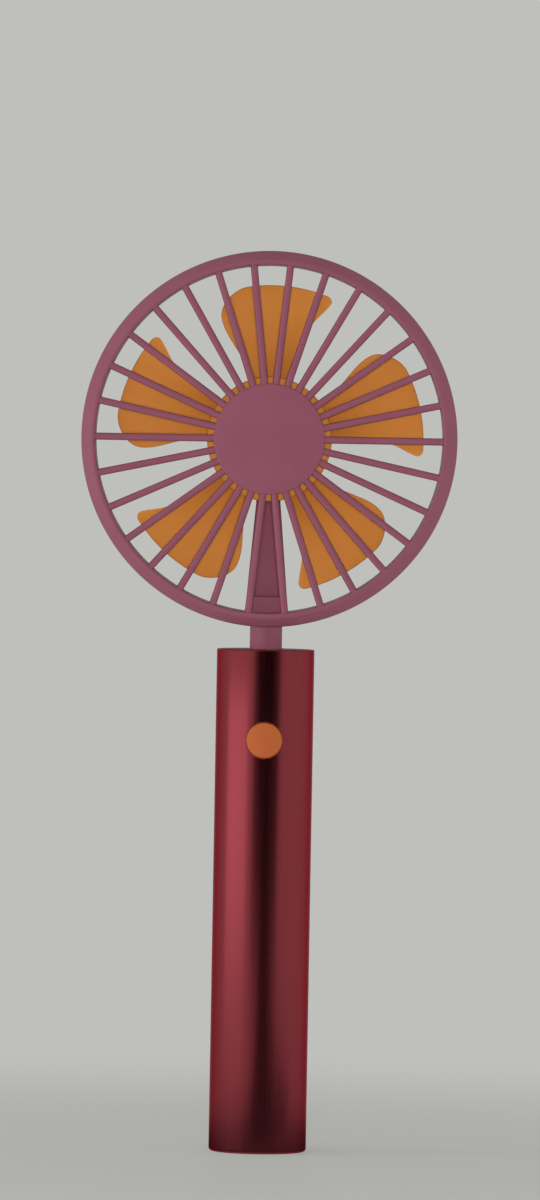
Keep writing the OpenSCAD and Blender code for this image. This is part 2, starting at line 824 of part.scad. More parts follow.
module motor_screws() {
  color(steel_colour) on_fan_axis()
    for (side = [-1, 1])
      translate([side * motor_screw_r, 0, housing_front])
        rotate([180, 0, 0]) pan_screw(housing_face_t + motor_wall);
}

module neck() {
  tenon_top = head_z - tenon_in_r;
  color(shell_colour) difference() {
    union() {
      difference() {
        translate([0, 0, flange_z]) cylinder(d = neck_d, h = head_z - rim_ri - flange_z);
        on_fan_axis() cylinder(r = rim_ro + seat_gap, h = 2 * neck_d, center = true);
      }
      translate([0, 0, flange_z]) cylinder(d = neck_flange_d, h = neck_flange_t);
      translate([0, 0, top_cap_z]) cylinder(d = tenon_d, h = tenon_top - top_cap_z);
    }
    translate([0, 0, flange_z - past]) cylinder(d = neck_bore_d, h = tenon_top - flange_z + 2 * past);
    on_fan_axis()
      translate([0, neck_screw_r, face_rear - screw_head_h]) screw_hole(face_rear - screw_head_h);
  }
}

module neck_screw() {
  color(steel_colour) on_fan_axis()
    translate([0, neck_screw_r, face_rear - screw_head_h]) pan_screw(neck_screw_l);
}

module handle_tube() {
  color(tube_colour) difference() {
    rotate_extrude()
      polygon(concat(
        [[tube_ri, 0]],
        arc([tube_ro - foot_edge, foot_edge], foot_edge, -90, 0),
        arc([tube_ro - top_edge, handle_l - top_edge], top_edge, 0, 90),
        [[tube_ri, handle_l]]
      ));
    on_button_axis() cylinder(d = button_d + 2 * slide_gap, h = tube_ro + past);
    on_socket_axis()
      linear_extrude(tube_ro + past) polygon(slot_points(usb_w + 2 * slide_gap, usb_h + 2 * slide_gap));
  }
}

module top_cap() {
  color(tube_colour)
    translate([0, 0, top_cap_z]) difference() {
      cylinder(r = cap_r, h = top_cap_h);
      translate([0, 0, -past]) cylinder(d = neck_d + 2 * seat_gap, h = top_cap_h + 2 * past);
    }
}

// Countersunk foot screw that points up, with its flat face at zero, grown by a gap for its hole
module foot_screw(length, gap) {
  shank_r = screw_d / 2 + gap;
  head_r = screw_head_d / 2 + gap;
  rotate_extrude()
    polygon([
      [0, 0], [head_r, 0], [shank_r, screw_head_h + gap], [shank_r, length], [0, length]
    ]);
}

module bottom_cap() {
  color(tube_colour) difference() {
    cylinder(r = cap_r, h = foot_cap_h);
    for (side = [-1, 1])
      translate([side * foot_screw_x, 0, 0]) foot_screw(foot_cap_h + past, seat_gap);
  }
}

module base_screws() {
  slot_w = screw_head_d / 6;
  slot_l = screw_head_d * 2 / 3;
  color(steel_colour)
    for (side = [-1, 1])
      translate([side * foot_screw_x, 0, 0]) difference() {
        foot_screw(foot_screw_l, 0);
        for (turn = [0, 90])
          rotate(turn)
            translate([-slot_l / 2, -slot_w / 2, -past]) cube([slot_l, slot_w, past + screw_head_h / 2]);
      }
}

// Bay of the inner frame between two heights: round at the back and open at the front
module frame_bay(low, high) {
  translate([0, 0, low]) {
    cylinder(r = frame_ri, h = high - low);
    translate([-tube_ro, -tube_ro, 0]) cube([handle_d, tube_ro, high - low]);
  }
}

module inner_frame() {
  bay_z = foot_cap_h + floor_t;
  slot_half = usb_h / 2 + 2 * slide_gap;
  slot_long = usb_w + 4 * slide_gap;
  color(dark_colour) difference() {
    union() {
      difference() {
        translate([0, 0, foot_cap_h]) cylinder(r = frame_ro, h = flange_z - foot_cap_h);
        frame_bay(bay_z, bulkhead_z);
        frame_bay(bulkhead_z + bulkhead_t, plate_z);
        translate([-tube_ro, -tube_ro, bulkhead_z - past])
          cube([handle_d, tube_ro + frame_front, bulkhead_t + 2 * past]);
      }
      for (p = board_screw_places)
        intersection() {
          translate([p[0], board_back, p[1]])
            rotate([-90, 0, 0]) cylinder(d = board_post_d, h = tube_ro);
          cylinder(r = (frame_ri + frame_ro) / 2, h = handle_l);
        }
    }
    translate([0, 0, plate_z - past]) cylinder(d = plate_hole_d, h = plate_t + 2 * past);
    for (side = [-1, 1])
      translate([side * foot_screw_x, 0, foot_cap_h - past])
        cylinder(d = screw_d + 2 * seat_gap, h = floor_t + past - tab_t);
    for (p = board_screw_places)
      translate([p[0], board_y, p[1]]) rotate([90, 0, 0]) screw_hole(board_screw_l + slide_gap);
    translate([-slot_half, board_back + root, usb_z - slot_long / 2])
      cube([2 * slot_half, tube_ro, slot_long]);
  }
}

module battery_cell() {
  cell_edge = cell_nub_h / 2;
  body_h = cell_l - cell_nub_h;
  color(cell_colour)
    translate([0, 0, cell_z])
      rotate_extrude()
        polygon(concat(
          [[0, 0]],
          arc([cell_d / 2 - cell_edge, cell_edge], cell_edge, -90, 0),
          arc([cell_d / 2 - cell_edge, body_h - cell_edge], cell_edge, 0, 90),
          [[cell_nub_d / 2, body_h], [cell_nub_d / 2, cell_l], [0, cell_l]]
        ));
}

module battery_tabs() {
  tab_front = wire_d / 2 - tab_lead_y;
  color(steel_colour) {
    translate([-tab_w / 2, -tab_front, cell_z - tab_t]) cube([tab_w, tab_front + tab_w, tab_t]);
    translate([-tab_w / 2, -tab_w, cell_top]) cube([tab_w, 2 * tab_w, tab_t]);
  }
}

// Insulated lead swept along a route
function unit(v) = v / norm(v);
function heading(route, i) = unit(route[min(i + 1, len(route) - 1)] - route[max(i - 1, 0)]);
function lead_ring(route, i) =
  let (
    ahead = heading(route, i),
    side = unit(cross(ahead, [1, 0, 0])),
    up = cross(side, ahead)
  )
    [
      for (k = [0:wire_sides - 1])
        let (a = 360 * k / wire_sides) route[i] + wire_d / 2 * (side * cos(a) + up * sin(a))
    ];

module lead(route) {
  last = (len(route) - 1) * wire_sides;
  points = [for (i = [0:len(route) - 1]) each lead_ring(route, i)];
  skin = [
    for (i = [0:len(route) - 2], k = [0:wire_sides - 1])
      let (a = i * wire_sides + k, b = i * wire_sides + (k + 1) % wire_sides)
        each [[a, b, b + wire_sides], [a, b + wire_sides, a + wire_sides]]
  ];
  start = [for (k = [wire_sides - 1:-1:0]) k];
  end = [for (k = [0:wire_sides - 1]) last + k];
  polyhedron(points, concat(skin, [start, end]));
}

// The same route on the other side of the middle
function mirrored(route) = [for (p = route) [-p[0], p[1], p[2]]];

module battery_lead_red() {
  color(red_colour) lead(red_battery_route);
}

module battery_lead_black() {
  color(black_colour) lead(black_battery_route);
}

module motor_lead_red() {
  color(red_colour) lead(motor_route);
}

module motor_lead_black() {
  color(black_colour) lead(mirrored(motor_route));
}

module circuit_board() {
  color(board_colour) difference() {
    translate([-board_w / 2, board_y, board_foot]) cube([board_w, board_t, board_l]);
    for (p = board_screw_places)
      translate([p[0], board_y, p[1]]) rotate([90, 0, 0]) screw_hole(board_t + past);
  }
}

module board_chips() {
  color(black_colour)
    for (chip = chips)
      translate([chip[0] - chip[2] / 2, board_y - chip[4], board_top - chip[1] - chip[3] / 2])
        cube([chip[2], chip[4], chip[3]]);
}

module board_screws() {
  color(steel_colour)
    for (p = board_screw_places)
      translate([p[0], board_y, p[1]]) rotate([90, 0, 0]) pan_screw(board_screw_l);
}

// Depths of the button's pieces, measured to the front from the handle's middle
flange_front = sqrt(pow(tube_ri, 2) - pow(button_flange_d / 2, 2)) - slide_gap;
flange_back = flange_front - button_flange_t;
stem_back = flange_back - button_stem_l;
switch_front = switch_h - board_y;
button_rim = tube_ro + button_proud;

module switch_body() {
  bore_depth = plunger_in + button_travel + slide_gap;
  color(black_colour) on_button_axis() difference() {
    translate([-switch_w / 2, -switch_w / 2, -board_y]) cube([switch_w, switch_w, switch_h]);
    translate([0, 0, switch_front - bore_depth])
      cylinder(d = plunger_d + 2 * slide_gap, h = bore_depth + past);
  }
}

module switch_plunger() {
  color(dark_colour) on_button_axis()
    translate([0, 0, switch_front - plunger_in])
      cylinder(d = plunger_d, h = stem_back - switch_front + plunger_in);
}

module power_button() {
  button_r = button_d / 2;
  button_edge = 0.5;
  crown_a = button_r - button_edge;
  crown_r = (pow(crown_a, 2) + pow(button_crown, 2)) / (2 * button_crown);
  crown_z = button_rim + button_crown - crown_r;
  color(button_colour) on_button_axis()
    rotate_extrude()
      polygon(concat(
        [
          [0, stem_back], [button_stem_d / 2, stem_back], [button_stem_d / 2, flange_back],
          [button_flange_d / 2, flange_back], [button_flange_d / 2, flange_front], [button_r, flange_front]
        ],
        arc([crown_a, button_rim - button_edge], button_edge, 0, 90),
        [
          for (i = [1:arc_steps])
            let (r = crown_a * (1 - i / arc_steps)) [r, crown_z + sqrt(pow(crown_r, 2) - pow(r, 2))]
        ]
      ));
}

usb_front = tube_ro - usb_recess;

module usb_shell() {
  color(steel_colour) on_socket_axis()
    translate([0, 0, board_back])
      linear_extrude(usb_front - board_back)
        difference() {
          polygon(slot_points(usb_w, usb_h));
          polygon(slot_points(usb_w - 2 * usb_wall, usb_h - 2 * usb_wall));
        }
}

module usb_tongue() {
  base_l = 2.6;
  tongue_back = 1;
  inner_w = usb_w - 2 * (usb_wall + seat_gap);
  inner_h = usb_h - 2 * (usb_wall + seat_gap);
  color(black_colour) on_socket_axis() translate([0, 0, board_back]) {
    linear_extrude(base_l) polygon(slot_points(inner_w, inner_h));
    translate([-tongue_t / 2, -tongue_w / 2, base_l / 2])
      cube([tongue_t, tongue_w, usb_front - board_back - tongue_back - base_l / 2]);
  }
}

front_grille();
rear_grille();
rear_cover();
cover_screws();
impeller();
motor_can();
motor_end_cap();
motor_magnets();
motor_bushes();
motor_shaft();
armature_core();
armature_windings();
commutator();
motor_brushes();
motor_terminals();
motor_screws();
neck();
neck_screw();
handle_tube();
top_cap();
bottom_cap();
base_screws();
inner_frame();
battery_cell();
battery_tabs();
battery_lead_red();
battery_lead_black();
circuit_board();
board_chips();
board_screws();
switch_body();
switch_plunger();
power_button();
usb_shell();
usb_tongue();
motor_lead_red();
motor_lead_black();
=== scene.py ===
import math

import bmesh
import bpy
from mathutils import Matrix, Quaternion, Vector


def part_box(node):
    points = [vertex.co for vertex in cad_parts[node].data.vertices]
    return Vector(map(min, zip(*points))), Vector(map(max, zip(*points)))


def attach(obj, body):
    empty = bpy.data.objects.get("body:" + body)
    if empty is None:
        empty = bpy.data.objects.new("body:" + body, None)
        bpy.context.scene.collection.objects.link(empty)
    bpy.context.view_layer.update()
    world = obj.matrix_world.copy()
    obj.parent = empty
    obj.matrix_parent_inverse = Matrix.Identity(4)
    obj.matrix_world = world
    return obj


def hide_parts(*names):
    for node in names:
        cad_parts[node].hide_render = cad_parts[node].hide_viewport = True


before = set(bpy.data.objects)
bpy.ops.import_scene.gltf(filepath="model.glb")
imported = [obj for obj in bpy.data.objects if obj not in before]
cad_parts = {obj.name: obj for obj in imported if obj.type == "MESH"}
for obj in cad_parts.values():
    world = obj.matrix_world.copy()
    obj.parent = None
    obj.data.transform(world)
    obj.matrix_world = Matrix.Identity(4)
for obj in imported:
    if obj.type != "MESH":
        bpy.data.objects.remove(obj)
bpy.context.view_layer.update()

# Handle tube
# A length of drawn aluminium tube, cut square, with its edges broken and its skin blasted to a satin.
# It is anodised dark red. A round hole in front takes the power button, and a slot behind takes the
# charging socket.

MM = 0.001
UP = Vector((0, 0, 1))
RIGHT = Vector((1, 0, 0))
REAR = Vector((0, 1, 0))
foot_middle = Vector((0, 0, 0))
tube_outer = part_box("handle_tube")[1].x
tube_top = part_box("handle_tube")[1].z
tube_inner = tube_outer - 1.2 * MM
foot_edge = 0.9 * MM
top_edge = 0.3 * MM
tube_steps = 192
button_low, button_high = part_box("power_button")
button_axis = Vector((0, 0, (button_low.z + button_high.z) / 2))
button_radius = 4.75 * MM
button_gap = 0.2 * MM
socket_low, socket_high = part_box("usb_shell")
socket_z = (socket_low.z + socket_high.z) / 2
slot_gap = 0.2 * MM
row_pitch = 0.6 * MM
button_steps = 96
# Corners nearer than the first are drawn as one, and cutting leaves crumbs smaller than the second
merge_gap = 0.001 * MM
crumb = 0.004 * MM
# A drill through one wall of the tube runs between these distances from its axis
drill_start = 0.5 * tube_outer
drill_end = 1.5 * tube_outer


def arc(centre, radius, start, end, steps):
    """Points of an outline on an arc about a centre, between two angles in degrees."""
    angles = [math.radians(start + (end - start) * i / steps) for i in range(steps + 1)]
    return [(centre[0] + radius * math.cos(a), centre[1] + radius * math.sin(a)) for a in angles]


def rows(start, end):
    """Heights at an even pitch between two heights, which give a wall fine faces beside a hole."""
    count = round(abs(end - start) / row_pitch)
    return [start + (end - start) * i / count for i in range(count + 1)]


def draw_line(name, points):
    """A new piece drawn as one line, point by point, and left in edit mode with all of it selected."""
    bpy.ops.object.select_all(action="DESELECT")
    bpy.ops.mesh.primitive_plane_add(size=MM)
    piece = bpy.context.object
    piece.name = name
    bpy.ops.object.mode_set(mode="EDIT")
    bpy.ops.mesh.select_mode(type="VERT")
    bpy.ops.mesh.select_all(action="SELECT")
    bpy.ops.mesh.merge(type="CENTER")
    bpy.ops.transform.translate(value=points[0])
    for here, there in zip(points, points[1:]):
        bpy.ops.mesh.extrude_region_move(TRANSFORM_OT_translate={"value": there - here})
    bpy.ops.mesh.select_all(action="SELECT")
    bpy.ops.mesh.remove_doubles(threshold=merge_gap)
    return piece


def turn(name, outline, base, axis, steps):
    """Draws an outline of (distance from the axis, place along it) and spins it round the axis.

    The outline is closed, unless it starts and ends on the axis.
    """
    points = [base + RIGHT * away + axis * along for away, along in outline]
    if outline[0][0] > 0:
        points.append(points[0])
    piece = draw_line(name, points)
    bpy.ops.mesh.spin(steps=steps, angle=2 * math.pi, center=base, axis=axis)
    bpy.ops.mesh.select_all(action="SELECT")
    bpy.ops.mesh.remove_doubles(threshold=merge_gap)
    bpy.ops.mesh.normals_make_consistent(inside=False)
    bpy.ops.object.mode_set(mode="OBJECT")
    return piece


def make_active(*pieces):
    """Selects just these pieces, and makes the first one active."""
    bpy.ops.object.select_all(action="DESELECT")
    for piece in pieces:
        piece.select_set(True)
    bpy.context.view_layer.objects.active = pieces[0]


def combine(piece, tool, operation):
    """Cuts a tool out of a piece, or welds it on, and takes the tool away."""
    make_active(piece)
    step = piece.modifiers.new("combine", "BOOLEAN")
    step.operation = operation
    step.solver = "EXACT"
    step.object = tool
    bpy.ops.object.modifier_apply(modifier=step.name)
    bpy.data.objects.remove(tool)


def smooth(piece, angle=32):
    """Splits a piece into even triangles, merges the crumbs that cutting leaves, and shades it smooth.

    Edges sharper than an angle in degrees stay sharp.
    """
    make_active(piece)
    bpy.ops.object.mode_set(mode="EDIT")
    bpy.ops.mesh.select_all(action="SELECT")
    bpy.ops.mesh.quads_convert_to_tris(quad_method="BEAUTY", ngon_method="BEAUTY")
    bpy.ops.mesh.remove_doubles(threshold=crumb)
    bpy.ops.mesh.dissolve_degenerate(threshold=crumb)
    bpy.ops.object.mode_set(mode="OBJECT")
    bpy.ops.object.shade_smooth_by_angle(angle=math.radians(angle))


def pick_vertices(test):
    """In edit mode, selects just the corners whose place passes the test."""
    bpy.ops.mesh.select_mode(type="VERT")
    bpy.ops.mesh.select_all(action="DESELECT")
    shape = bmesh.from_edit_mesh(bpy.context.object.data)
    for corner in shape.verts:
        corner.select_set(test(corner.co))
    shape.select_flush_mode()
    bmesh.update_edit_mesh(bpy.context.object.data)


def peg(name, middle, radius, low, high, sides=48):
    """A round bar along Y between two depths, as a post or as the drill for a hole."""
    bpy.ops.object.select_all(action="DESELECT")
    bpy.ops.mesh.primitive_cylinder_add(
        vertices=sides, radius=radius, depth=high - low,
        location=(middle.x, (low + high) / 2, middle.z), rotation=(math.pi / 2, 0, 0))
    bar = bpy.context.object
    bar.name = name
    bpy.ops.object.transform_apply(location=True, rotation=True, scale=True)
    return bar


def round_slot(name, width, length, low, high):
    """A bar along Y with a round-ended section that is long up the handle, from a peg parted in two."""
    bar = peg(name, Vector((0, 0, socket_z)), width / 2, low, high)
    bpy.ops.object.mode_set(mode="EDIT")
    for way in (1, -1):
        pick_vertices(lambda place: (place.z - socket_z) * way > merge_gap)
        bpy.ops.transform.translate(value=UP * (way * (length - width) / 2))
    bpy.ops.object.mode_set(mode="OBJECT")
    return bar


hole_half = button_radius + 2 * button_gap
slot_half = (socket_high.z - socket_low.z) / 2 + 2 * slot_gap
hole_rows = rows(button_axis.z - hole_half, button_axis.z + hole_half)
slot_rows = rows(socket_z - slot_half, socket_z + slot_half)
wall_rows = sorted(set(hole_rows + slot_rows))
handle_tube = turn(
    "anodised_handle_tube",
    arc((tube_outer - foot_edge, foot_edge), foot_edge, -90, 0, 8)
    + [(tube_outer, z) for z in wall_rows]
    + arc((tube_outer - top_edge, tube_top - top_edge), top_edge, 0, 90, 4)
    + arc((tube_inner + top_edge / 2, tube_top - top_edge / 2), top_edge / 2, 90, 180, 2)
    + [(tube_inner, z) for z in reversed(wall_rows)]
    + [(tube_inner, 0)],
    foot_middle, UP, tube_steps)
button_hole = peg(
    "button_hole", button_axis, button_radius + button_gap, -drill_end, -drill_start, button_steps)
combine(handle_tube, button_hole, "DIFFERENCE")
socket_slot = round_slot(
    "socket_slot", socket_high.x - socket_low.x + 2 * slot_gap, socket_high.z - socket_low.z + 2 * slot_gap,
    drill_start, drill_end)
combine(handle_tube, socket_slot, "DIFFERENCE")
smooth(handle_tube)


def linear(hex_colour):
    """The linear colour of an sRGB hex value."""
    channels = [int(hex_colour[i:i + 2], 16) / 255 for i in (1, 3, 5)]
    return [c / 12.92 if c <= 0.04045 else ((c + 0.055) / 1.055) ** 2.4 for c in channels] + [1.0]


def add_node(tree, kind, settings, links=None):
    """Adds a node with its settings, which name a property or an input, and links its inputs."""
    node = tree.nodes.new(kind)
    for name, value in settings.items():
        if isinstance(name, int) or name in node.inputs:
            node.inputs[name].default_value = value
        else:
            setattr(node, name, value)
    for name, source in (links or {}).items():
        tree.links.new(source, node.inputs[name])
    return node


def new_tree(name):
    """An empty material and its node tree."""
    material = bpy.data.materials.new(name)
    material.use_nodes = True
    material.node_tree.nodes.clear()
    return material, material.node_tree


def anodised_aluminium(name, colour, deep_colour, edge_colour):
    """Blasted and anodised aluminium: a satin metal whose colour lies in the oxide skin.

    Drawing the tube leaves faint lines along it, which show as streaks in its gloss. The blasted grain
    is about 0.1 mm, drawn here at 0.25 mm so that it shows.
    """
    streak_width, streak_length, grain = 0.35 * MM, 40 * MM, 0.25 * MM
    material, tree = new_tree(name)
    place = add_node(tree, "ShaderNodeTexCoord", {})
    stretched = add_node(
        tree, "ShaderNodeMapping", {"Scale": (1 / streak_width, 1 / streak_width, 1 / streak_length)},
        {"Vector": place.outputs["Object"]})
    streaks = add_node(
        tree, "ShaderNodeTexNoise", {"Scale": 1.0, "Detail": 3.0}, {"Vector": stretched.outputs["Vector"]})
    grains = add_node(
        tree, "ShaderNodeTexNoise", {"Scale": 1 / grain, "Detail": 2.0}, {"Vector": place.outputs["Object"]})
    skin = add_node(
        tree, "ShaderNodeMix", {"data_type": "RGBA", 6: linear(deep_colour), 7: linear(colour)},
        {0: streaks.outputs["Fac"]})
    gloss = add_node(
        tree, "ShaderNodeMapRange", {"From Min": 0.3, "From Max": 0.7, "To Min": 0.24, "To Max": 0.29},
        {"Value": streaks.outputs["Fac"]})
    relief = add_node(
        tree, "ShaderNodeBump", {"Strength": 0.25, "Distance": 0.01 * MM}, {"Height": grains.outputs["Fac"]})
    shader = add_node(
        tree, "ShaderNodeBsdfPrincipled", {"Metallic": 1.0, "Specular Tint": linear(edge_colour)},
        {"Base Color": skin.outputs[2], "Roughness": gloss.outputs["Result"],
         "Normal": relief.outputs["Normal"]})
    add_node(tree, "ShaderNodeOutputMaterial", {}, {"Surface": shader.outputs["BSDF"]})
    return material


red_aluminium = anodised_aluminium("anodised_aluminium_dark_red", "#a9474f", "#97404a", "#d9a3a5")


def fit_piece(piece, material, body, node):
    """Finishes a piece in a material, on the body that it moves with, in place of a CAD node, which it hides.
    """
    piece.data.materials.append(material)
    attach(piece, body)
    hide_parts(node)


fit_piece(handle_tube, red_aluminium, "body", "handle_tube")

# Inner frame
# A half tube of black glass-filled nylon that slides into the handle with the cell and the board in it.
# Its floor takes the two foot screws, and its top plate stands under the neck.


def moulded_plastic(name, colour, deep_colour, roughness, grain=0.35 * MM, drift=9 * MM):
    """Moulded plastic: an even colour with a faint drift where the melt flowed, and a soft satin gloss.

    The mould is spark-eroded to a grain of about 0.05 mm, drawn here coarser so that it shows.
    """
    material, tree = new_tree(name)
    place = add_node(tree, "ShaderNodeTexCoord", {})
    flow = add_node(
        tree, "ShaderNodeTexNoise", {"Scale": 1 / drift, "Detail": 3.0}, {"Vector": place.outputs["Object"]})
    grains = add_node(
        tree, "ShaderNodeTexNoise", {"Scale": 1 / grain, "Detail": 2.0}, {"Vector": place.outputs["Object"]})
    tint = add_node(
        tree, "ShaderNodeMix", {"data_type": "RGBA", 6: linear(deep_colour), 7: linear(colour)},
        {0: flow.outputs["Fac"]})
    gloss = add_node(
        tree, "ShaderNodeMapRange", {"To Min": roughness - 0.06, "To Max": roughness + 0.06},
        {"Value": grains.outputs["Fac"]})
    relief = add_node(
        tree, "ShaderNodeBump", {"Strength": 0.3, "Distance": 0.012 * MM}, {"Height": grains.outputs["Fac"]})
    shader = add_node(
        tree, "ShaderNodeBsdfPrincipled", {"IOR": 1.53, "Specular IOR Level": 0.35},
        {"Base Color": tint.outputs[2], "Roughness": gloss.outputs["Result"],
         "Normal": relief.outputs["Normal"]})
    add_node(tree, "ShaderNodeOutputMaterial", {}, {"Surface": shader.outputs["BSDF"]})
    return material


def finish_node(node, material):
    """Gives a CAD node, whose shape stays as it is, the material of the real piece."""
    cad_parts[node].material_slots[0].material = material


black_nylon = moulded_plastic("moulded_nylon_black", "#26262a", "#1d1d20", 0.5)
finish_node("inner_frame", black_nylon)

# Cell and its leads
# A round lithium cell in a shrunk blue PVC sleeve, with a nickel strip welded on each end and two PVC
# leads up to the board. The steel can shows inside the sleeve's folded lips at both ends.

cell_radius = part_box("battery_cell")[1].x
sleeve_lip = 2.3 * MM


def worked_metal(name, tone, deep_tone, smoothest, roughest, marks):
    """Bare or plated metal with the marks that its making leaves, of the given sizes along X, Y and Z."""
    material, tree = new_tree(name)
    place = add_node(tree, "ShaderNodeTexCoord", {})
    scaled = add_node(
        tree, "ShaderNodeMapping", {"Scale": [1 / size for size in marks]},
        {"Vector": place.outputs["Object"]})
    grain = add_node(
        tree, "ShaderNodeTexNoise", {"Scale": 1.0, "Detail": 3.0}, {"Vector": scaled.outputs["Vector"]})
    tint = add_node(
        tree, "ShaderNodeMix", {"data_type": "RGBA", 6: linear(deep_tone), 7: linear(tone)},
        {0: grain.outputs["Fac"]})
    gloss = add_node(
        tree, "ShaderNodeMapRange", {"To Min": smoothest, "To Max": roughest},
        {"Value": grain.outputs["Fac"]})
    relief = add_node(
        tree, "ShaderNodeBump", {"Strength": 0.2, "Distance": 0.008 * MM}, {"Height": grain.outputs["Fac"]})
    shader = add_node(
        tree, "ShaderNodeBsdfPrincipled", {"Metallic": 1.0},
        {"Base Color": tint.outputs[2], "Roughness": gloss.outputs["Result"],
         "Normal": relief.outputs["Normal"]})
    add_node(tree, "ShaderNodeOutputMaterial", {}, {"Surface": shader.outputs["BSDF"]})
    return material


def sleeved_steel(name, colour, deep_colour, steel):
    """A steel can in shrunk PVC film: glossy, with ripples where the film shrank.

    The ripples run along the can and are about 1.5 mm wide.
    """
    ripple_width, ripple_length = 1.5 * MM, 12 * MM
    material, tree = new_tree(name)
    place = add_node(tree, "ShaderNodeTexCoord", {})
    flat = add_node(
        tree, "ShaderNodeVectorMath", {"operation": "MULTIPLY", 1: (1, 1, 0)}, {0: place.outputs["Object"]})
    away = add_node(tree, "ShaderNodeVectorMath", {"operation": "LENGTH"}, {0: flat.outputs["Vector"]})
    bare = add_node(
        tree, "ShaderNodeMath", {"operation": "LESS_THAN", 1: cell_radius - sleeve_lip},
        {0: away.outputs["Value"]})
    scaled = add_node(
        tree, "ShaderNodeMapping", {"Scale": (1 / ripple_width, 1 / ripple_width, 1 / ripple_length)},
        {"Vector": place.outputs["Object"]})
    ripples = add_node(
        tree, "ShaderNodeTexNoise", {"Scale": 1.0, "Detail": 2.0}, {"Vector": scaled.outputs["Vector"]})
    film = add_node(
        tree, "ShaderNodeMix", {"data_type": "RGBA", 6: linear(deep_colour), 7: linear(colour)},
        {0: ripples.outputs["Fac"]})
    tint = add_node(
        tree, "ShaderNodeMix", {"data_type": "RGBA", 7: linear(steel)},
        {0: bare.outputs["Value"], 6: film.outputs[2]})
    gloss = add_node(
        tree, "ShaderNodeMapRange", {"To Min": 0.2, "To Max": 0.34}, {"Value": ripples.outputs["Fac"]})
    relief = add_node(
        tree, "ShaderNodeBump", {"Strength": 0.3, "Distance": 0.03 * MM}, {"Height": ripples.outputs["Fac"]})
    shader = add_node(
        tree, "ShaderNodeBsdfPrincipled", {},
        {"Base Color": tint.outputs[2], "Metallic": bare.outputs["Value"],
         "Roughness": gloss.outputs["Result"], "Normal": relief.outputs["Normal"]})
    add_node(tree, "ShaderNodeOutputMaterial", {}, {"Surface": shader.outputs["BSDF"]})
    return material


finish_node("battery_cell", sleeved_steel("shrunk_pvc_sleeve_blue", "#4f80a8", "#456f95", "#b9bab8"))
# Rolled nickel strip has faint marks along it, about 0.2 mm apart
nickel = worked_metal("nickel_plate", "#cbc6bb", "#bdb8ad", 0.16, 0.34, (0.2 * MM, 4 * MM, 0.2 * MM))
finish_node("battery_tabs", nickel)
# Extruded PVC is smooth, with a soft gloss
red_pvc = moulded_plastic("extruded_pvc_red", "#a32424", "#8f1d1d", 0.36)
black_pvc = moulded_plastic("extruded_pvc_black", "#242424", "#1b1b1b", 0.36)
finish_node("battery_lead_red", red_pvc)
finish_node("battery_lead_black", black_pvc)

# Circuit board
# A glass-epoxy board under green solder lacquer, screwed to posts in the inner frame. It carries the
# charging and motor chips, moulded in black epoxy, and the switch under the power button.


def lacquered_board(name, lacquer, track_colour, laminate):
    """Glass-epoxy board: copper tracks show pale through the lacquer, and stand up a little.

    The tracks are about 0.4 mm wide, and the sawn edges show the bare yellow laminate.
    """
    land = 4 * MM
    material, tree = new_tree(name)
    place = add_node(tree, "ShaderNodeTexCoord", {})
    upright = add_node(
        tree, "ShaderNodeMapping", {"Rotation": (-math.pi / 2, 0, 0)}, {"Vector": place.outputs["Object"]})
    tracks = add_node(
        tree, "ShaderNodeTexBrick", {"Scale": 1 / land, "Mortar Size": 0.05, "Mortar Smooth": 0.3},
        {"Vector": upright.outputs["Vector"]})
    coated = add_node(
        tree, "ShaderNodeMix", {"data_type": "RGBA", 6: linear(lacquer), 7: linear(track_colour)},
        {0: tracks.outputs["Fac"]})
    surface = add_node(tree, "ShaderNodeNewGeometry", {})
    facing = add_node(tree, "ShaderNodeSeparateXYZ", {}, {0: surface.outputs["Normal"]})
    flatness = add_node(tree, "ShaderNodeMath", {"operation": "ABSOLUTE"}, {0: facing.outputs["Y"]})
    tint = add_node(
        tree, "ShaderNodeMix", {"data_type": "RGBA", 6: linear(laminate)},
        {0: flatness.outputs["Value"], 7: coated.outputs[2]})
    gloss = add_node(
        tree, "ShaderNodeMapRange", {"To Min": 0.6, "To Max": 0.28}, {"Value": flatness.outputs["Value"]})
    relief = add_node(
        tree, "ShaderNodeBump", {"Strength": 0.5, "Distance": 0.03 * MM}, {"Height": tracks.outputs["Fac"]})
    shader = add_node(
        tree, "ShaderNodeBsdfPrincipled", {"IOR": 1.52},
        {"Base Color": tint.outputs[2], "Roughness": gloss.outputs["Result"],
         "Normal": relief.outputs["Normal"]})
    add_node(tree, "ShaderNodeOutputMaterial", {}, {"Surface": shader.outputs["BSDF"]})
    return material


finish_node("circuit_board", lacquered_board("lacquered_glass_epoxy", "#1b4a2c", "#2f6b45", "#a08d57"))
finish_node("board_chips", moulded_plastic("moulded_epoxy_black", "#1f1f21", "#18181a", 0.6, 0.2 * MM))
# Tumbled zinc plate on steel has a fine mottle, about 0.2 mm
zinc_mottle = 0.2 * MM
screw_zinc = worked_metal("zinc_plated_steel", "#c9ccd0", "#a9adb3", 0.22, 0.42, [zinc_mottle] * 3)
finish_node("board_screws", screw_zinc)
finish_node("switch_body", black_nylon)
finish_node("switch_plunger", moulded_plastic("moulded_acetal_black", "#2b2b2d", "#232325", 0.34))

# Charging socket
# A drawn and nickel-plated steel shell with round ends stands on the board behind the slot in the tube.
# A black moulded tongue stands in the middle of it, with gilt contacts along both its faces.

shell_wall = 0.3 * MM
shell_edge = 0.08 * MM
shell_width = socket_high.x - socket_low.x
shell_length = socket_high.z - socket_low.z


def block(name, low, high):
    """A box between two corners."""
    bpy.ops.object.select_all(action="DESELECT")
    bpy.ops.mesh.primitive_cube_add(size=1, location=(low + high) / 2, scale=high - low)
    piece = bpy.context.object
    piece.name = name
    bpy.ops.object.transform_apply(location=True, rotation=True, scale=True)
    return piece


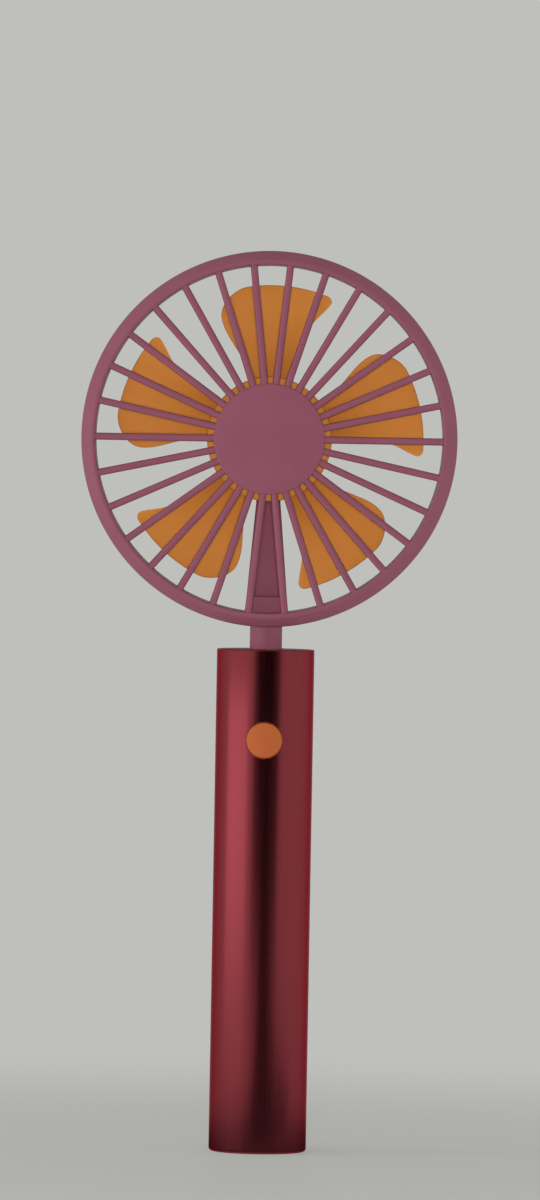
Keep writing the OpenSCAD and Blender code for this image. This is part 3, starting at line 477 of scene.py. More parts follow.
def round_edges(piece, width, segments=2, angle=30):
    """Rounds a piece's edges that are sharper than an angle in degrees."""
    make_active(piece)
    edges = piece.modifiers.new("round_edges", "BEVEL")
    edges.width = width
    edges.segments = segments
    edges.limit_method = "ANGLE"
    edges.angle_limit = math.radians(angle)
    bpy.ops.object.modifier_apply(modifier=edges.name)


def join(name, pieces):
    """Joins like pieces into one."""
    make_active(*pieces)
    bpy.ops.object.join()
    joined = bpy.context.object
    joined.name = name
    return joined


usb_shell = round_slot("charging_socket_shell", shell_width, shell_length, socket_low.y, socket_high.y)
shell_bore = round_slot(
    "shell_bore", shell_width - 2 * shell_wall, shell_length - 2 * shell_wall,
    socket_low.y - shell_wall, socket_high.y + shell_wall)
combine(usb_shell, shell_bore, "DIFFERENCE")
round_edges(usb_shell, shell_edge)
smooth(usb_shell)
fit_piece(usb_shell, nickel, "body", "usb_shell")

tongue_low, tongue_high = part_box("usb_tongue")
tongue_base = tongue_low.y + 2.6 * MM
tongue_half = 0.35 * MM
tongue_edge = 0.12 * MM
tongue_reach = 3.2 * MM
usb_tongue = round_slot(
    "charging_socket_tongue", tongue_high.x - tongue_low.x, tongue_high.z - tongue_low.z,
    tongue_low.y, tongue_base)
tongue_plate = block(
    "tongue_plate", Vector((-tongue_half, (tongue_low.y + tongue_base) / 2, socket_z - tongue_reach)),
    Vector((tongue_half, tongue_high.y, socket_z + tongue_reach)))
combine(usb_tongue, tongue_plate, "UNION")
round_edges(usb_tongue, tongue_edge)
smooth(usb_tongue)
fit_piece(usb_tongue, black_nylon, "body", "usb_tongue")

contact_half = 0.15 * MM
contact_proud = 0.04 * MM
contact_pitch = 0.5 * MM
contact_count = 12
contact_side = tongue_half + contact_proud
contact_start = tongue_base - contact_pitch
contact_end = tongue_high.y - 0.6 * MM
contacts = []
for i in range(contact_count):
    contact_z = socket_z + contact_pitch * (i - (contact_count - 1) / 2)
    contact = block(
        "contact", Vector((-contact_side, contact_start, contact_z - contact_half)),
        Vector((contact_side, contact_end, contact_z + contact_half)))
    round_edges(contact, contact_proud / 2)
    contacts.append(contact)
socket_contacts = join("charging_socket_contacts", contacts)
smooth(socket_contacts)
# Gilt phosphor bronze has a fine even sheen, with wiping marks along it
gilt = worked_metal("gilt_phosphor_bronze", "#d9b463", "#c9a250", 0.2, 0.34, (0.1 * MM, 2 * MM, 0.1 * MM))
socket_contacts.data.materials.append(gilt)
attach(socket_contacts, "body")

# Power button
# A round crowned cap of orange ABS that rises just out of the tube. A flange keeps it in from behind,
# and its stem presses the switch on the board.

flange_radius = button_high.x
flange_thickness = 1 * MM
stem_radius = 2 * MM
stem_back = button_high.y
flange_back = stem_back - 2.4 * MM
flange_front = flange_back - flange_thickness
button_rim = -(tube_outer + 0.2 * MM)
button_crown = button_low.y
rim_round = 0.7 * MM
crown_steps = 8
crown_half = button_radius - rim_round
crown_rise = button_rim - button_crown
crown_radius = (crown_half ** 2 + crown_rise ** 2) / (2 * crown_rise)
crown_middle = button_crown + crown_radius
crown = []
for i in range(crown_steps + 1):
    away = crown_half * (1 - i / crown_steps)
    crown.append((away, crown_middle - math.sqrt(crown_radius ** 2 - away ** 2)))
power_button = turn(
    "power_button_cap",
    [(0, stem_back), (stem_radius, stem_back), (stem_radius, flange_back), (flange_radius, flange_back),
     (flange_radius, flange_front), (button_radius, flange_front)]
    + arc((button_radius - rim_round, button_rim + rim_round), rim_round, 0, -90, 6)[:-1]
    + crown,
    button_axis, REAR, button_steps)
smooth(power_button, 40)
orange_button = moulded_plastic("moulded_abs_burnt_orange", "#b45e2e", "#ac562b", 0.42)
fit_piece(power_button, orange_button, "button", "power_button")

# End plugs
# Two moulded plugs close the tube: the upper one is pressed in round the neck, and the lower one is held
# by two screws from below. Both are ABS in the red of the tube.

top_low, top_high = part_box("top_cap")
foot_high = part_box("bottom_cap")[1]
plug_radius = top_high.x
plug_edge = 0.4 * MM
plug_steps = 96
neck_hole = 4.35 * MM
red_abs = moulded_plastic("moulded_abs_dark_red", "#7a2f37", "#6e2a32", 0.5)

top_plug = turn(
    "handle_top_plug",
    [(neck_hole, top_low.z)]
    + arc((plug_radius - plug_edge, top_low.z + plug_edge), plug_edge, -90, 0, 4)
    + arc((plug_radius - plug_edge, top_high.z - plug_edge), plug_edge, 0, 90, 4)
    + arc((neck_hole + plug_edge, top_high.z - plug_edge), plug_edge, 90, 180, 4),
    foot_middle, UP, plug_steps)
smooth(top_plug)
fit_piece(top_plug, red_abs, "body", "top_cap")

foot_plug = turn(
    "handle_foot_plug",
    [(0, 0)]
    + arc((plug_radius - plug_edge, plug_edge), plug_edge, -90, 0, 4)
    + arc((plug_radius - plug_edge, foot_high.z - plug_edge), plug_edge, 0, 90, 4)
    + [(0, foot_high.z)],
    foot_middle, UP, plug_steps)
screw_radius = 0.8 * MM
screw_head_radius = 1.5 * MM
screw_head_height = 0.9 * MM
screw_gap = 0.05 * MM
head_lip = 0.15 * MM
screw_steps = 32
foot_screws_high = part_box("base_screws")[1]
foot_screw_x = foot_screws_high.x - screw_head_radius


def countersunk_screw(name, x, gap):
    """A countersunk screw that points up from the foot, grown by a gap where it is the tool for its hole."""
    shank, head = screw_radius + gap, screw_head_radius + gap
    return turn(
        name,
        [(0, -gap), (head, -gap), (head, head_lip), (shank, screw_head_height + gap),
         (shank, foot_screws_high.z), (0, foot_screws_high.z)],
        Vector((x, 0, 0)), UP, screw_steps)


def cross_recess(piece, middle, axis):
    """Cuts the cross for the screwdriver into a screw head, from two crossed bars."""
    arm, breadth, depth = screw_head_radius * 4 / 3, screw_head_radius / 3, screw_head_height
    across = UP if abs(axis.y) > 0.5 else REAR
    side = axis.cross(across)
    for long, short in ((across, side), (side, across)):
        half = Vector([abs(reach) for reach in long * arm + short * breadth + axis * depth]) / 2
        combine(piece, block("cross_bar", middle - half, middle + half), "DIFFERENCE")


foot_screws = []
for screw_x in (-foot_screw_x, foot_screw_x):
    combine(foot_plug, countersunk_screw("foot_hole", screw_x, screw_gap), "DIFFERENCE")
    screw = countersunk_screw("foot_screw", screw_x, 0)
    cross_recess(screw, Vector((screw_x, 0, 0)), UP)
    foot_screws.append(screw)
smooth(foot_plug)
fit_piece(foot_plug, red_abs, "body", "bottom_cap")

foot_screw_pair = join("foot_screw_pair", foot_screws)
smooth(foot_screw_pair)
fit_piece(foot_screw_pair, screw_zinc, "body", "base_screws")

# Neck
# A moulded tube of mauve ABS that carries the wires up to the head. Its flange is trapped under the top
# plug, and its tenon stands in the head, where one screw from behind holds it.

grille_low, grille_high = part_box("front_grille")
rim_outer = grille_high.x
fan_centre = Vector((0, 0, (grille_low.z + grille_high.z) / 2))
neck_low, neck_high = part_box("neck")
neck_radius = 4.3 * MM
neck_bore = 2.3 * MM
neck_flange_radius = neck_high.x
neck_flange_top = neck_low.z + 2 * MM
tenon_radius = 3.5 * MM
rim_gap = 0.05 * MM
shoulder_z = fan_centre.z - rim_outer + 1 * MM
cut_reach = 20 * MM
neck_steps = 64
rim_steps = 240
neck_screw_low, neck_screw_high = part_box("neck_screw")
neck_screw_spot = Vector((0, 0, (neck_screw_low.z + neck_screw_high.z) / 2))


def upright_bar(name, radius, low, high):
    """A round bar up the handle's axis between two heights, as a tenon or as the drill for a bore."""
    bpy.ops.object.select_all(action="DESELECT")
    bpy.ops.mesh.primitive_cylinder_add(
        vertices=neck_steps, radius=radius, depth=high - low, location=(0, 0, (low + high) / 2))
    bar = bpy.context.object
    bar.name = name
    bpy.ops.object.transform_apply(location=True, rotation=True, scale=True)
    return bar


neck = turn(
    "neck_tube",
    [(0, neck_low.z), (neck_flange_radius, neck_low.z), (neck_flange_radius, neck_flange_top),
     (neck_radius, neck_flange_top), (neck_radius, shoulder_z), (0, shoulder_z)],
    foot_middle, UP, neck_steps)
saddle = turn(
    "saddle_cutter",
    [(0, -cut_reach), (rim_outer + rim_gap, -cut_reach), (rim_outer + rim_gap, cut_reach), (0, cut_reach)],
    fan_centre, REAR, rim_steps)
combine(neck, saddle, "DIFFERENCE")
combine(neck, upright_bar("tenon", tenon_radius, neck_flange_top, neck_high.z), "UNION")
combine(neck, upright_bar("bore", neck_bore, neck_low.z - cut_reach, neck_high.z + cut_reach), "DIFFERENCE")
combine(neck, peg("neck_screw_hole", neck_screw_spot, screw_radius + screw_gap, 0, cut_reach), "DIFFERENCE")
smooth(neck)
mauve_abs = moulded_plastic("moulded_abs_mauve", "#8b4f5f", "#824758", 0.45)
fit_piece(neck, mauve_abs, "body", "neck")

# Rear grille
# One moulding of mauve ABS: the deep rim, the rear spokes, the motor housing in the middle and the strut
# that brings the wires up from the neck. A thin lap on the rim locates the front grille, and posts beside
# the housing and in the strut take the screws of the rear cover.

face_front = grille_low.y
face_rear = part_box("rear_grille")[1].y
rim_inner = rim_outer - 3.7 * MM
rim_slope = 46
land_round = 1.3 * MM
wall_round = 1.8 * MM
inner_edge = 0.6 * MM
rim_split = face_front + 6 * MM
split_edge = 0.15 * MM
lap_height = 1.6 * MM
lap_thickness = 1.4 * MM
spoke_count = 30
spoke_half = 0.95 * MM
spoke_depth = 2.4 * MM
spoke_bevel = 0.8 * MM
spoke_recess = 0.3 * MM
sunk = 1 * MM
touch = 0.01 * MM
housing_outer = 14.25 * MM
housing_inner = 12.4 * MM
housing_front = -3 * MM
housing_seat = housing_front + 1.6 * MM
boss_hole = 3.3 * MM
strut_front = face_rear - 7 * MM
strut_inner_half = 3 * MM
strut_outer_half = 5.75 * MM
strut_wall = 1.3 * MM
seat_inner = rim_outer - 8 * MM
seat_front = -4.5 * MM
seat_round = 0.25 * MM
seat_wall = 1 * MM
room_end = seat_inner + 3.2 * MM
channel_end = seat_inner + 2.7 * MM
notch_depth = 2 * MM
post_radius = 1.8 * MM
post_end = face_rear - 0.1 * MM
cover_low, cover_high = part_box("rear_cover")
cover_end = fan_centre.z - cover_low.z
cover_screw_radius = 14.4 * MM
cover_screw_angle = 60
cover_hole_depth = 5 * MM
strut_screw_radius = cover_end - 3.6 * MM
motor_screw_x = 8 * MM
recess_radius = screw_head_radius + 0.2 * MM
round_steps = 120


def on_head(right, rear, up):
    """A place given from the middle of the head."""
    return fan_centre + Vector((right, rear, up))


def polar(radius, angle):
    """A place in the fan's plane, at an angle in degrees clockwise from straight up, seen from the front."""
    return on_head(radius * math.sin(math.radians(angle)), 0, radius * math.cos(math.radians(angle)))


def pick_edges(test):
    """In edit mode, selects just the edges whose two ends together pass the test."""
    bpy.ops.mesh.select_mode(type="EDGE")
    bpy.ops.mesh.select_all(action="DESELECT")
    shape = bmesh.from_edit_mesh(bpy.context.object.data)
    for edge in shape.edges:
        edge.select_set(test(edge.verts[0].co, edge.verts[1].co))
    bmesh.update_edit_mesh(bpy.context.object.data)


def copies_round(piece, angles):
    """Copies of a piece turned about the fan's axis by angles in degrees, which take the piece's place."""
    copies = []
    for angle in angles:
        make_active(piece)
        bpy.ops.object.duplicate(linked=False)
        bpy.ops.transform.rotate(
            value=math.radians(angle), orient_axis="Y", orient_type="GLOBAL", center_override=fan_centre)
        bpy.ops.object.transform_apply(location=True, rotation=True, scale=True)
        copies.append(bpy.context.object)
    bpy.data.objects.remove(piece)
    return copies


def spoke_ring(name, inner, face, into, left_out):
    """Spokes from a radius to the rim: one bar that points down, rounded along its face, and its copies.

    The face is the spokes' outer face, and into is 1 where the spokes reach back to the rear from it.
    """
    back = face + into * spoke_depth
    bar = block(
        name, on_head(-spoke_half, min(face, back), -(rim_inner + sunk)),
        on_head(spoke_half, max(face, back), -(inner - sunk)))
    bpy.ops.object.mode_set(mode="EDIT")
    pick_edges(
        lambda a, b: max(abs(a.y - face), abs(b.y - face)) < touch and abs(a.z - b.z) > spoke_depth)
    bpy.ops.mesh.bevel(offset=spoke_bevel, segments=5, affect="EDGES")
    bpy.ops.object.mode_set(mode="OBJECT")
    pitch = 360 / spoke_count
    copies = copies_round(bar, [pitch * (i + 0.5) for i in range(left_out, spoke_count - left_out)])
    return join(name, copies)


def strut_half(radius):
    """Half the strut's width at a distance from the fan's axis."""
    share = (radius - housing_outer) / (rim_inner - housing_outer)
    return strut_inner_half + (strut_outer_half - strut_inner_half) * share


def wedge(name, inner, outer, front, rear, wall):
    """A flat wedge along the strut, from a box whose ends are scaled to the strut's width there."""
    piece = block(name, on_head(-MM, front, -outer), on_head(MM, rear, -inner))
    bpy.ops.object.mode_set(mode="EDIT")
    for end in (inner, outer):
        pick_vertices(lambda place: abs(place.z - (fan_centre.z - end)) < touch)
        width = (strut_half(end) - wall) / MM
        bpy.ops.transform.resize(value=(width, 1, 1), center_override=on_head(0, 0, -end))
    bpy.ops.object.mode_set(mode="OBJECT")
    return piece


land = arc((rim_inner + inner_edge, land_round), land_round, -90, rim_slope - 90, 5)
wall = arc((rim_outer - wall_round, 0), wall_round, rim_slope - 90, 0, 6)
slope_across = wall[0][0] - land[-1][0]
wall_depth = land[-1][1] + slope_across * math.tan(math.radians(rim_slope)) - wall[0][1]
rim_face = land + [(radius, depth + wall_depth) for radius, depth in wall]

rear_grille = turn(
    "rear_grille_moulding",
    [(rim_inner, rim_split - lap_height), (rim_inner + lap_thickness, rim_split - lap_height),
     (rim_inner + lap_thickness, rim_split), (rim_outer - split_edge, rim_split),
     (rim_outer, rim_split + split_edge)]
    + [(radius, face_rear - depth) for radius, depth in reversed(rim_face)]
    + arc((rim_inner + inner_edge, face_rear - inner_edge), inner_edge, 90, 180, 6),
    fan_centre, REAR, rim_steps)
housing = turn(
    "motor_housing",
    [(boss_hole, housing_front), (housing_outer, housing_front), (housing_outer, face_rear),
     (housing_inner, face_rear), (housing_inner, housing_seat), (boss_hole, housing_seat)],
    fan_centre, REAR, round_steps)
upper_spots = [polar(cover_screw_radius, way * cover_screw_angle) for way in (-1, 1)]
strut_spot = on_head(0, 0, -strut_screw_radius)
for spot in upper_spots:
    combine(housing, peg("cover_post", spot, post_radius, strut_front, post_end), "UNION")
combine(rear_grille, housing, "UNION")
combine(rear_grille, spoke_ring("rear_spokes", housing_outer, face_rear - spoke_recess, -1, 1), "UNION")
strut = wedge("strut", housing_outer - sunk, rim_inner + sunk, strut_front, face_rear, 0)
combine(rear_grille, strut, "UNION")
seat = block(
    "neck_seat", on_head(-strut_half(seat_inner), seat_front, -(rim_inner + sunk)),
    on_head(strut_half(seat_inner), strut_front + sunk, -seat_inner))
bpy.ops.object.mode_set(mode="EDIT")
seat_top = fan_centre.z - seat_inner
pick_edges(
    lambda a, b: max(abs(a.y - seat_front), abs(b.y - seat_front)) < touch
    and min(a.z, b.z) > seat_top - touch)
bpy.ops.mesh.bevel(offset=seat_round, segments=3, affect="EDGES")
bpy.ops.object.mode_set(mode="OBJECT")
combine(rear_grille, seat, "UNION")

channel = wedge(
    "wire_channel", housing_inner + sunk, channel_end, strut_front + strut_wall, face_rear + sunk, strut_wall)
combine(channel, peg("strut_post", strut_spot, post_radius, strut_front, face_rear + 2 * sunk), "DIFFERENCE")
combine(rear_grille, channel, "DIFFERENCE")
notch_half = strut_inner_half - strut_wall
notch = block(
    "wire_notch", on_head(-notch_half, face_rear - notch_depth, -(housing_outer + sunk)),
    on_head(notch_half, face_rear + sunk, -(housing_inner - sunk)))
combine(rear_grille, notch, "DIFFERENCE")
wire_room = block(
    "wire_room", on_head(-neck_bore, -neck_bore, -room_end),
    on_head(neck_bore, strut_front + strut_wall + sunk, -(seat_inner + seat_wall)))
combine(rear_grille, wire_room, "DIFFERENCE")
tenon_bore = upright_bar("tenon_bore", tenon_radius + rim_gap, neck_flange_top, neck_high.z + rim_gap)
combine(rear_grille, tenon_bore, "DIFFERENCE")
drills = [
    (spot, screw_radius + screw_gap, face_rear - cover_hole_depth, face_rear + sunk)
    for spot in upper_spots + [strut_spot]
]
drills += [
    (on_head(way * motor_screw_x, 0, 0), screw_radius + screw_gap, housing_front - sunk, housing_seat + sunk)
    for way in (-1, 1)
]
drills += [
    (neck_screw_spot, screw_radius + screw_gap, 0, face_rear + sunk),
    (neck_screw_spot, recess_radius, face_rear - screw_head_height, face_rear + sunk),
]
for spot, radius, low, high in drills:
    combine(rear_grille, peg("drill", spot, radius, low, high, screw_steps), "DIFFERENCE")
smooth(rear_grille)
fit_piece(rear_grille, mauve_abs, "body", "rear_grille")

# Motor
# A small brushed motor, held in the housing by two screws from the front. Its drawn steel can holds two
# ferrite magnets and a sintered bush. The laminated three-pole armature turns on a ground shaft, and two
# brushes on the nylon end cap feed its commutator.

wave_length = math.pi / 10


def layered_metal(name, tone, gap_tone, roughness, pitch, kind):
    """Metal in fine layers: stamped sheets along the shaft (BANDS) or layers of wire round it (RINGS).

    The wave texture's own length is a tenth of pi, which the pitch of the layers scales.
    """
    material, tree = new_tree(name)
    place = add_node(tree, "ShaderNodeTexCoord", {})
    centred = add_node(
        tree, "ShaderNodeMapping", {"Location": -fan_centre}, {"Vector": place.outputs["Object"]})
    layers = add_node(
        tree, "ShaderNodeTexWave",
        {"wave_type": kind, "bands_direction": "Y", "rings_direction": "Y", "Scale": wave_length / pitch,
         "Distortion": 0.2},
        {"Vector": centred.outputs["Vector"]})
    # The darker gap tone where the layers meet is painted shade in the seams and grooves between them
    tint = add_node(
        tree, "ShaderNodeMix", {"data_type": "RGBA", 6: linear(gap_tone), 7: linear(tone)},
        {0: layers.outputs["Fac"]})
    gloss = add_node(
        tree, "ShaderNodeMapRange", {"To Min": roughness + 0.15, "To Max": roughness},
        {"Value": layers.outputs["Fac"]})
    relief = add_node(
        tree, "ShaderNodeBump", {"Strength": 0.6, "Distance": 0.04 * MM}, {"Height": layers.outputs["Fac"]})
    shader = add_node(
        tree, "ShaderNodeBsdfPrincipled", {"Metallic": 1.0},
        {"Base Color": tint.outputs[2], "Roughness": gloss.outputs["Result"],
         "Normal": relief.outputs["Normal"]})
    add_node(tree, "ShaderNodeOutputMaterial", {}, {"Surface": shader.outputs["BSDF"]})
    return material


def parted_copper(name, tone, gap_tone, parts):
    """Hard-drawn copper in segments round the shaft, with dark slots between them about 0.5 mm wide."""
    slot_share = 0.1
    material, tree = new_tree(name)
    place = add_node(tree, "ShaderNodeTexCoord", {})
    centred = add_node(
        tree, "ShaderNodeMapping", {"Location": -fan_centre}, {"Vector": place.outputs["Object"]})
    upright = add_node(
        tree, "ShaderNodeMapping", {"Rotation": (math.pi / 2, 0, 0)}, {"Vector": centred.outputs["Vector"]})
    round_shaft = add_node(
        tree, "ShaderNodeTexGradient", {"gradient_type": "RADIAL"}, {"Vector": upright.outputs["Vector"]})
    counted = add_node(
        tree, "ShaderNodeMath", {"operation": "MULTIPLY", 1: parts}, {0: round_shaft.outputs["Fac"]})
    along = add_node(tree, "ShaderNodeMath", {"operation": "FRACT"}, {0: counted.outputs["Value"]})
    in_slot = add_node(
        tree, "ShaderNodeMath", {"operation": "LESS_THAN", 1: slot_share}, {0: along.outputs["Value"]})
    tint = add_node(
        tree, "ShaderNodeMix", {"data_type": "RGBA", 6: linear(tone), 7: linear(gap_tone)},
        {0: in_slot.outputs["Value"]})
    gloss = add_node(
        tree, "ShaderNodeMapRange", {"To Min": 0.26, "To Max": 0.7}, {"Value": in_slot.outputs["Value"]})
    shader = add_node(
        tree, "ShaderNodeBsdfPrincipled", {"Metallic": 1.0},
        {"Base Color": tint.outputs[2], "Roughness": gloss.outputs["Result"]})
    add_node(tree, "ShaderNodeOutputMaterial", {}, {"Surface": shader.outputs["BSDF"]})
    return material


# Deep-drawn and plated steel keeps faint draw lines along the can
draw_lines = (0.3 * MM, 6 * MM, 0.3 * MM)
drawn_steel = worked_metal("drawn_plated_steel", "#b9bcc0", "#a5a8ad", 0.24, 0.38, draw_lines)
finish_node("motor_can", drawn_steel)
finish_node("motor_end_cap", black_nylon)
# Pressed and sintered ferrite is matt and grainy, about 0.3 mm
ferrite = moulded_plastic("sintered_ferrite", "#3a3a3d", "#2c2c2f", 0.75, 0.3 * MM, 2 * MM)
finish_node("motor_magnets", ferrite)
# Sintered bronze is full of small oil-filled pores, about 0.15 mm
bronze_pore = 0.15 * MM
sintered_bronze = worked_metal("sintered_bronze", "#b98f55", "#8d6a3c", 0.4, 0.62, [bronze_pore] * 3)
finish_node("motor_bushes", sintered_bronze)
# Ground steel has fine rings round the shaft, drawn here at 0.08 mm
ground_steel = worked_metal("ground_steel", "#c4c6c9", "#b2b4b8", 0.14, 0.26, (3 * MM, 0.08 * MM, 3 * MM))
finish_node("motor_shaft", ground_steel)
# Stamped silicon steel sheets, about 0.45 mm thick, in a stack, with painted shade in the seams between them
laminations = layered_metal("laminated_silicon_steel", "#8d9095", "#5c5f64", 0.42, 0.45 * MM, "BANDS")
finish_node("armature_core", laminations)
# Enamelled copper wire, about 0.25 mm thick, in even turns, with painted shade in the grooves between them
windings = layered_metal("enamelled_copper_wire", "#c0703a", "#7c4119", 0.3, 0.25 * MM, "RINGS")
finish_node("armature_windings", windings)
finish_node("commutator", parted_copper("hard_drawn_copper_segments", "#c27a4c", "#2e2018", 3))
# Copper-filled graphite is dull and granular, about 0.1 mm
graphite_grain = 0.1 * MM
graphite = worked_metal("copper_graphite", "#7a5f4c", "#4a3d36", 0.5, 0.7, [graphite_grain] * 3)
finish_node("motor_brushes", graphite)
# Stamped brass is tinned, with faint rolling marks
tinned_brass = worked_metal("tinned_brass", "#cdbf94", "#b9a878", 0.22, 0.4, (0.2 * MM, 2 * MM, 0.2 * MM))
finish_node("motor_terminals", tinned_brass)
finish_node("motor_screws", screw_zinc)
finish_node("motor_lead_red", red_pvc)
finish_node("motor_lead_black", black_pvc)

# Impeller
# One moulding of orange ABS: a cup-shaped hub pressed on the motor shaft, with five wide twisted blades.
# Each blade has a round leading corner and a sharper trailing corner that flares out.

hub_radius = 16.6 * MM
hub_wall = 1.5 * MM
hub_face = 1.6 * MM
hub_edge = 0.8 * MM
hub_front = face_front + spoke_recess + spoke_depth + 0.9 * MM
hub_depth = 10.1 * MM
hub_rear = hub_front + hub_depth
boss_radius = 3.2 * MM
boss_rear = housing_front - 0.6 * MM
shaft_radius = 1 * MM
shaft_front = hub_front + hub_face / 2
blade_count = 5
blade_root = hub_radius - hub_wall / 2
blade_tip = rim_inner - 5.3 * MM
blade_reach = blade_tip - blade_root
blade_thickness = 1.5 * MM
edge_share = 0.55
blade_inset = 0.2 * MM
blade_camber = 0.5
blade_round = 0.35 * MM
outline_pitch = 0.6 * MM
cut_pitch = 2 * MM
lead_half, lead_bulge, bulge_power, lead_corner = 17.5, 5.5, 1.6, 6 * MM
trail_half, trail_flare, flare_power, trail_corner = 16.5, 7.5, 2, 2 * MM

impeller = turn(
    "impeller_moulding",
    [(0, hub_front)]
    + arc((hub_radius - hub_edge, hub_front + hub_edge), hub_edge, -90, 0, 6)
    + [(hub_radius, hub_rear), (hub_radius - hub_wall, hub_rear),
       (hub_radius - hub_wall, hub_front + hub_face), (boss_radius, hub_front + hub_face),
       (boss_radius, boss_rear), (shaft_radius, boss_rear), (shaft_radius, shaft_front), (0, shaft_front)],
    fan_centre, REAR, round_steps)


def blade_sides(radius):
    """Angles in degrees of the leading and trailing sides, before their corners are rounded."""
    reach = max(0, radius - blade_root) / blade_reach
    bulge = lead_bulge * math.sin(math.pi * reach ** bulge_power)
    flare = trail_flare * (1 - math.cos(math.pi * reach ** flare_power)) / 2
    return -(lead_half + bulge), trail_half + flare


def corner_angle(radius, corner):
    """Degrees by which a round corner draws the blade's side in at a distance from the axis."""
    past = max(0, radius - blade_tip + corner)
    drawn_in = corner - math.sqrt(max(0, corner ** 2 - past ** 2))
    return math.degrees(drawn_in / radius)


def evenly(points, pitch):
    """Points at an even pitch along a line of points."""
    lengths = [(there - here).length for here, there in zip(points, points[1:])]
    count = round(sum(lengths) / pitch)
    spaced, run, i = [], 0, 0
    for step in range(count):
        want = sum(lengths) * step / count
        while run + lengths[i] < want:
            run += lengths[i]
            i += 1
        spaced.append(points[i].lerp(points[i + 1], (want - run) / lengths[i]))
    return spaced


def plate(name, points, depth):
    """A flat plate of an outline, filled and drawn out to the rear, which is left in edit mode."""
    piece = draw_line(name, points + points[:1])
    bpy.ops.mesh.edge_face_add()
    bpy.ops.mesh.extrude_region_move(TRANSFORM_OT_translate={"value": REAR * depth})
    bpy.ops.mesh.select_all(action="SELECT")
    bpy.ops.mesh.normals_make_consistent(inside=False)
    return piece


side_steps, tip_steps = 60, 30
radii = [blade_root + blade_reach * math.sin(math.pi / 2 * i / side_steps) for i in range(side_steps + 1)]
lead_side = [polar(r, blade_sides(r)[0] + corner_angle(r, lead_corner)) for r in radii]
trail_side = [polar(r, blade_sides(r)[1] - corner_angle(r, trail_corner)) for r in radii]
lead_end = blade_sides(blade_tip)[0] + corner_angle(blade_tip, lead_corner)
trail_end = blade_sides(blade_tip)[1] - corner_angle(blade_tip, trail_corner)
tip_side = [polar(blade_tip, lead_end + (trail_end - lead_end) * i / tip_steps) for i in range(1, tip_steps)]
outline = evenly(lead_side + tip_side + trail_side[::-1] + lead_side[:1], outline_pitch)
blade = plate("blade", outline, blade_thickness)
pick_edges(lambda a, b: abs(a.y - b.y) < touch)
bpy.ops.mesh.bevel(offset=blade_round, segments=3, affect="EDGES")
for i in range(1, round(2 * blade_tip / cut_pitch)):
    for cut_axis in (RIGHT, UP):
        bpy.ops.mesh.select_all(action="SELECT")
        bpy.ops.mesh.bisect(plane_co=fan_centre + cut_axis * (i * cut_pitch - blade_tip), plane_no=cut_axis)
bpy.ops.object.mode_set(mode="OBJECT")
rise = hub_depth - 2 * blade_inset - blade_thickness
for corner in blade.data.vertices:
    place = corner.co - fan_centre
    lead, trail = blade_sides(math.hypot(place.x, place.z))
    share = (math.degrees(math.atan2(place.x, place.z)) - lead) / (trail - lead)
    across = place.y / blade_thickness - 0.5
    thickness = blade_thickness * (edge_share + (1 - edge_share) * math.sin(math.pi * share))
    climb = rise * (share + blade_camber * share * (share - 1))
    middle = hub_rear - blade_inset - blade_thickness / 2 - climb
    corner.co.y = middle + across * thickness
for blade in copies_round(blade, [360 * i / blade_count for i in range(blade_count)]):
    combine(impeller, blade, "UNION")
smooth(impeller)
orange_abs = moulded_plastic("moulded_abs_orange", "#d4873b", "#cc7f35", 0.42)
fit_piece(impeller, orange_abs, "rotor", "impeller")

# Front grille
# One moulding of mauve ABS that snaps on the rear rim: a ring, thirty straight spokes with rounded faces,
# and a plain flat disc in the middle that hides the hub.

disc_radius = 14.75 * MM
disc_thickness = 2.4 * MM
disc_edge = 0.5 * MM
recess_outer = rim_inner + lap_thickness + 0.05 * MM
recess_front = rim_split - lap_height - 0.2 * MM

front_grille = turn(
    "front_grille_moulding",
    arc((rim_inner + inner_edge, face_front + inner_edge), inner_edge, 180, 270, 6)
    + [(radius, face_front + depth) for radius, depth in rim_face]
    + [(rim_outer, rim_split - split_edge), (rim_outer - split_edge, rim_split), (recess_outer, rim_split),
       (recess_outer, recess_front), (rim_inner, recess_front)],
    fan_centre, REAR, rim_steps)
combine(front_grille, spoke_ring("front_spokes", disc_radius, face_front + spoke_recess, 1, 0), "UNION")
disc = turn(
    "centre_disc",
    [(0, face_front)]
    + arc((disc_radius - disc_edge, face_front + disc_edge), disc_edge, -90, 0, 4)
    + [(disc_radius, face_front + disc_thickness), (0, face_front + disc_thickness)],
    fan_centre, REAR, round_steps)
combine(front_grille, disc, "UNION")
smooth(front_grille)
fit_piece(front_grille, mauve_abs, "body", "front_grille")

# Rear cover and its screws
# A keyhole-shaped plate of mauve ABS that closes the motor housing and the wire channel from behind.
# Three small pan-head screws hold it, and one more above the neck holds the head on the neck.

cover_radius = cover_high.x
cover_edge = 0.6 * MM
plate_steps = 120
cover_seat = cover_high.y - screw_head_height - 0.2 * MM
rebate_radius = 12.6 * MM
rebate_depth = 0.7 * MM
screw_dome = 0.35 * MM

round_start = -180 + math.degrees(math.asin(strut_half(cover_radius) / cover_radius))
plate_line = [
    polar(cover_radius, round_start * (1 - 2 * i / plate_steps)) for i in range(plate_steps + 1)
]
plate_line += [on_head(way * strut_half(cover_end), 0, -cover_end) for way in (1, -1)]
plate_line = [place + REAR * cover_low.y for place in plate_line]
rear_cover = plate("rear_cover_plate", plate_line, cover_high.y - cover_low.y)
bpy.ops.object.mode_set(mode="OBJECT")
round_edges(rear_cover, cover_edge, 4, 60)
rebate = peg(
    "cover_rebate", fan_centre, rebate_radius, cover_low.y - sunk, cover_low.y + rebate_depth, round_steps)
combine(rear_cover, rebate, "DIFFERENCE")


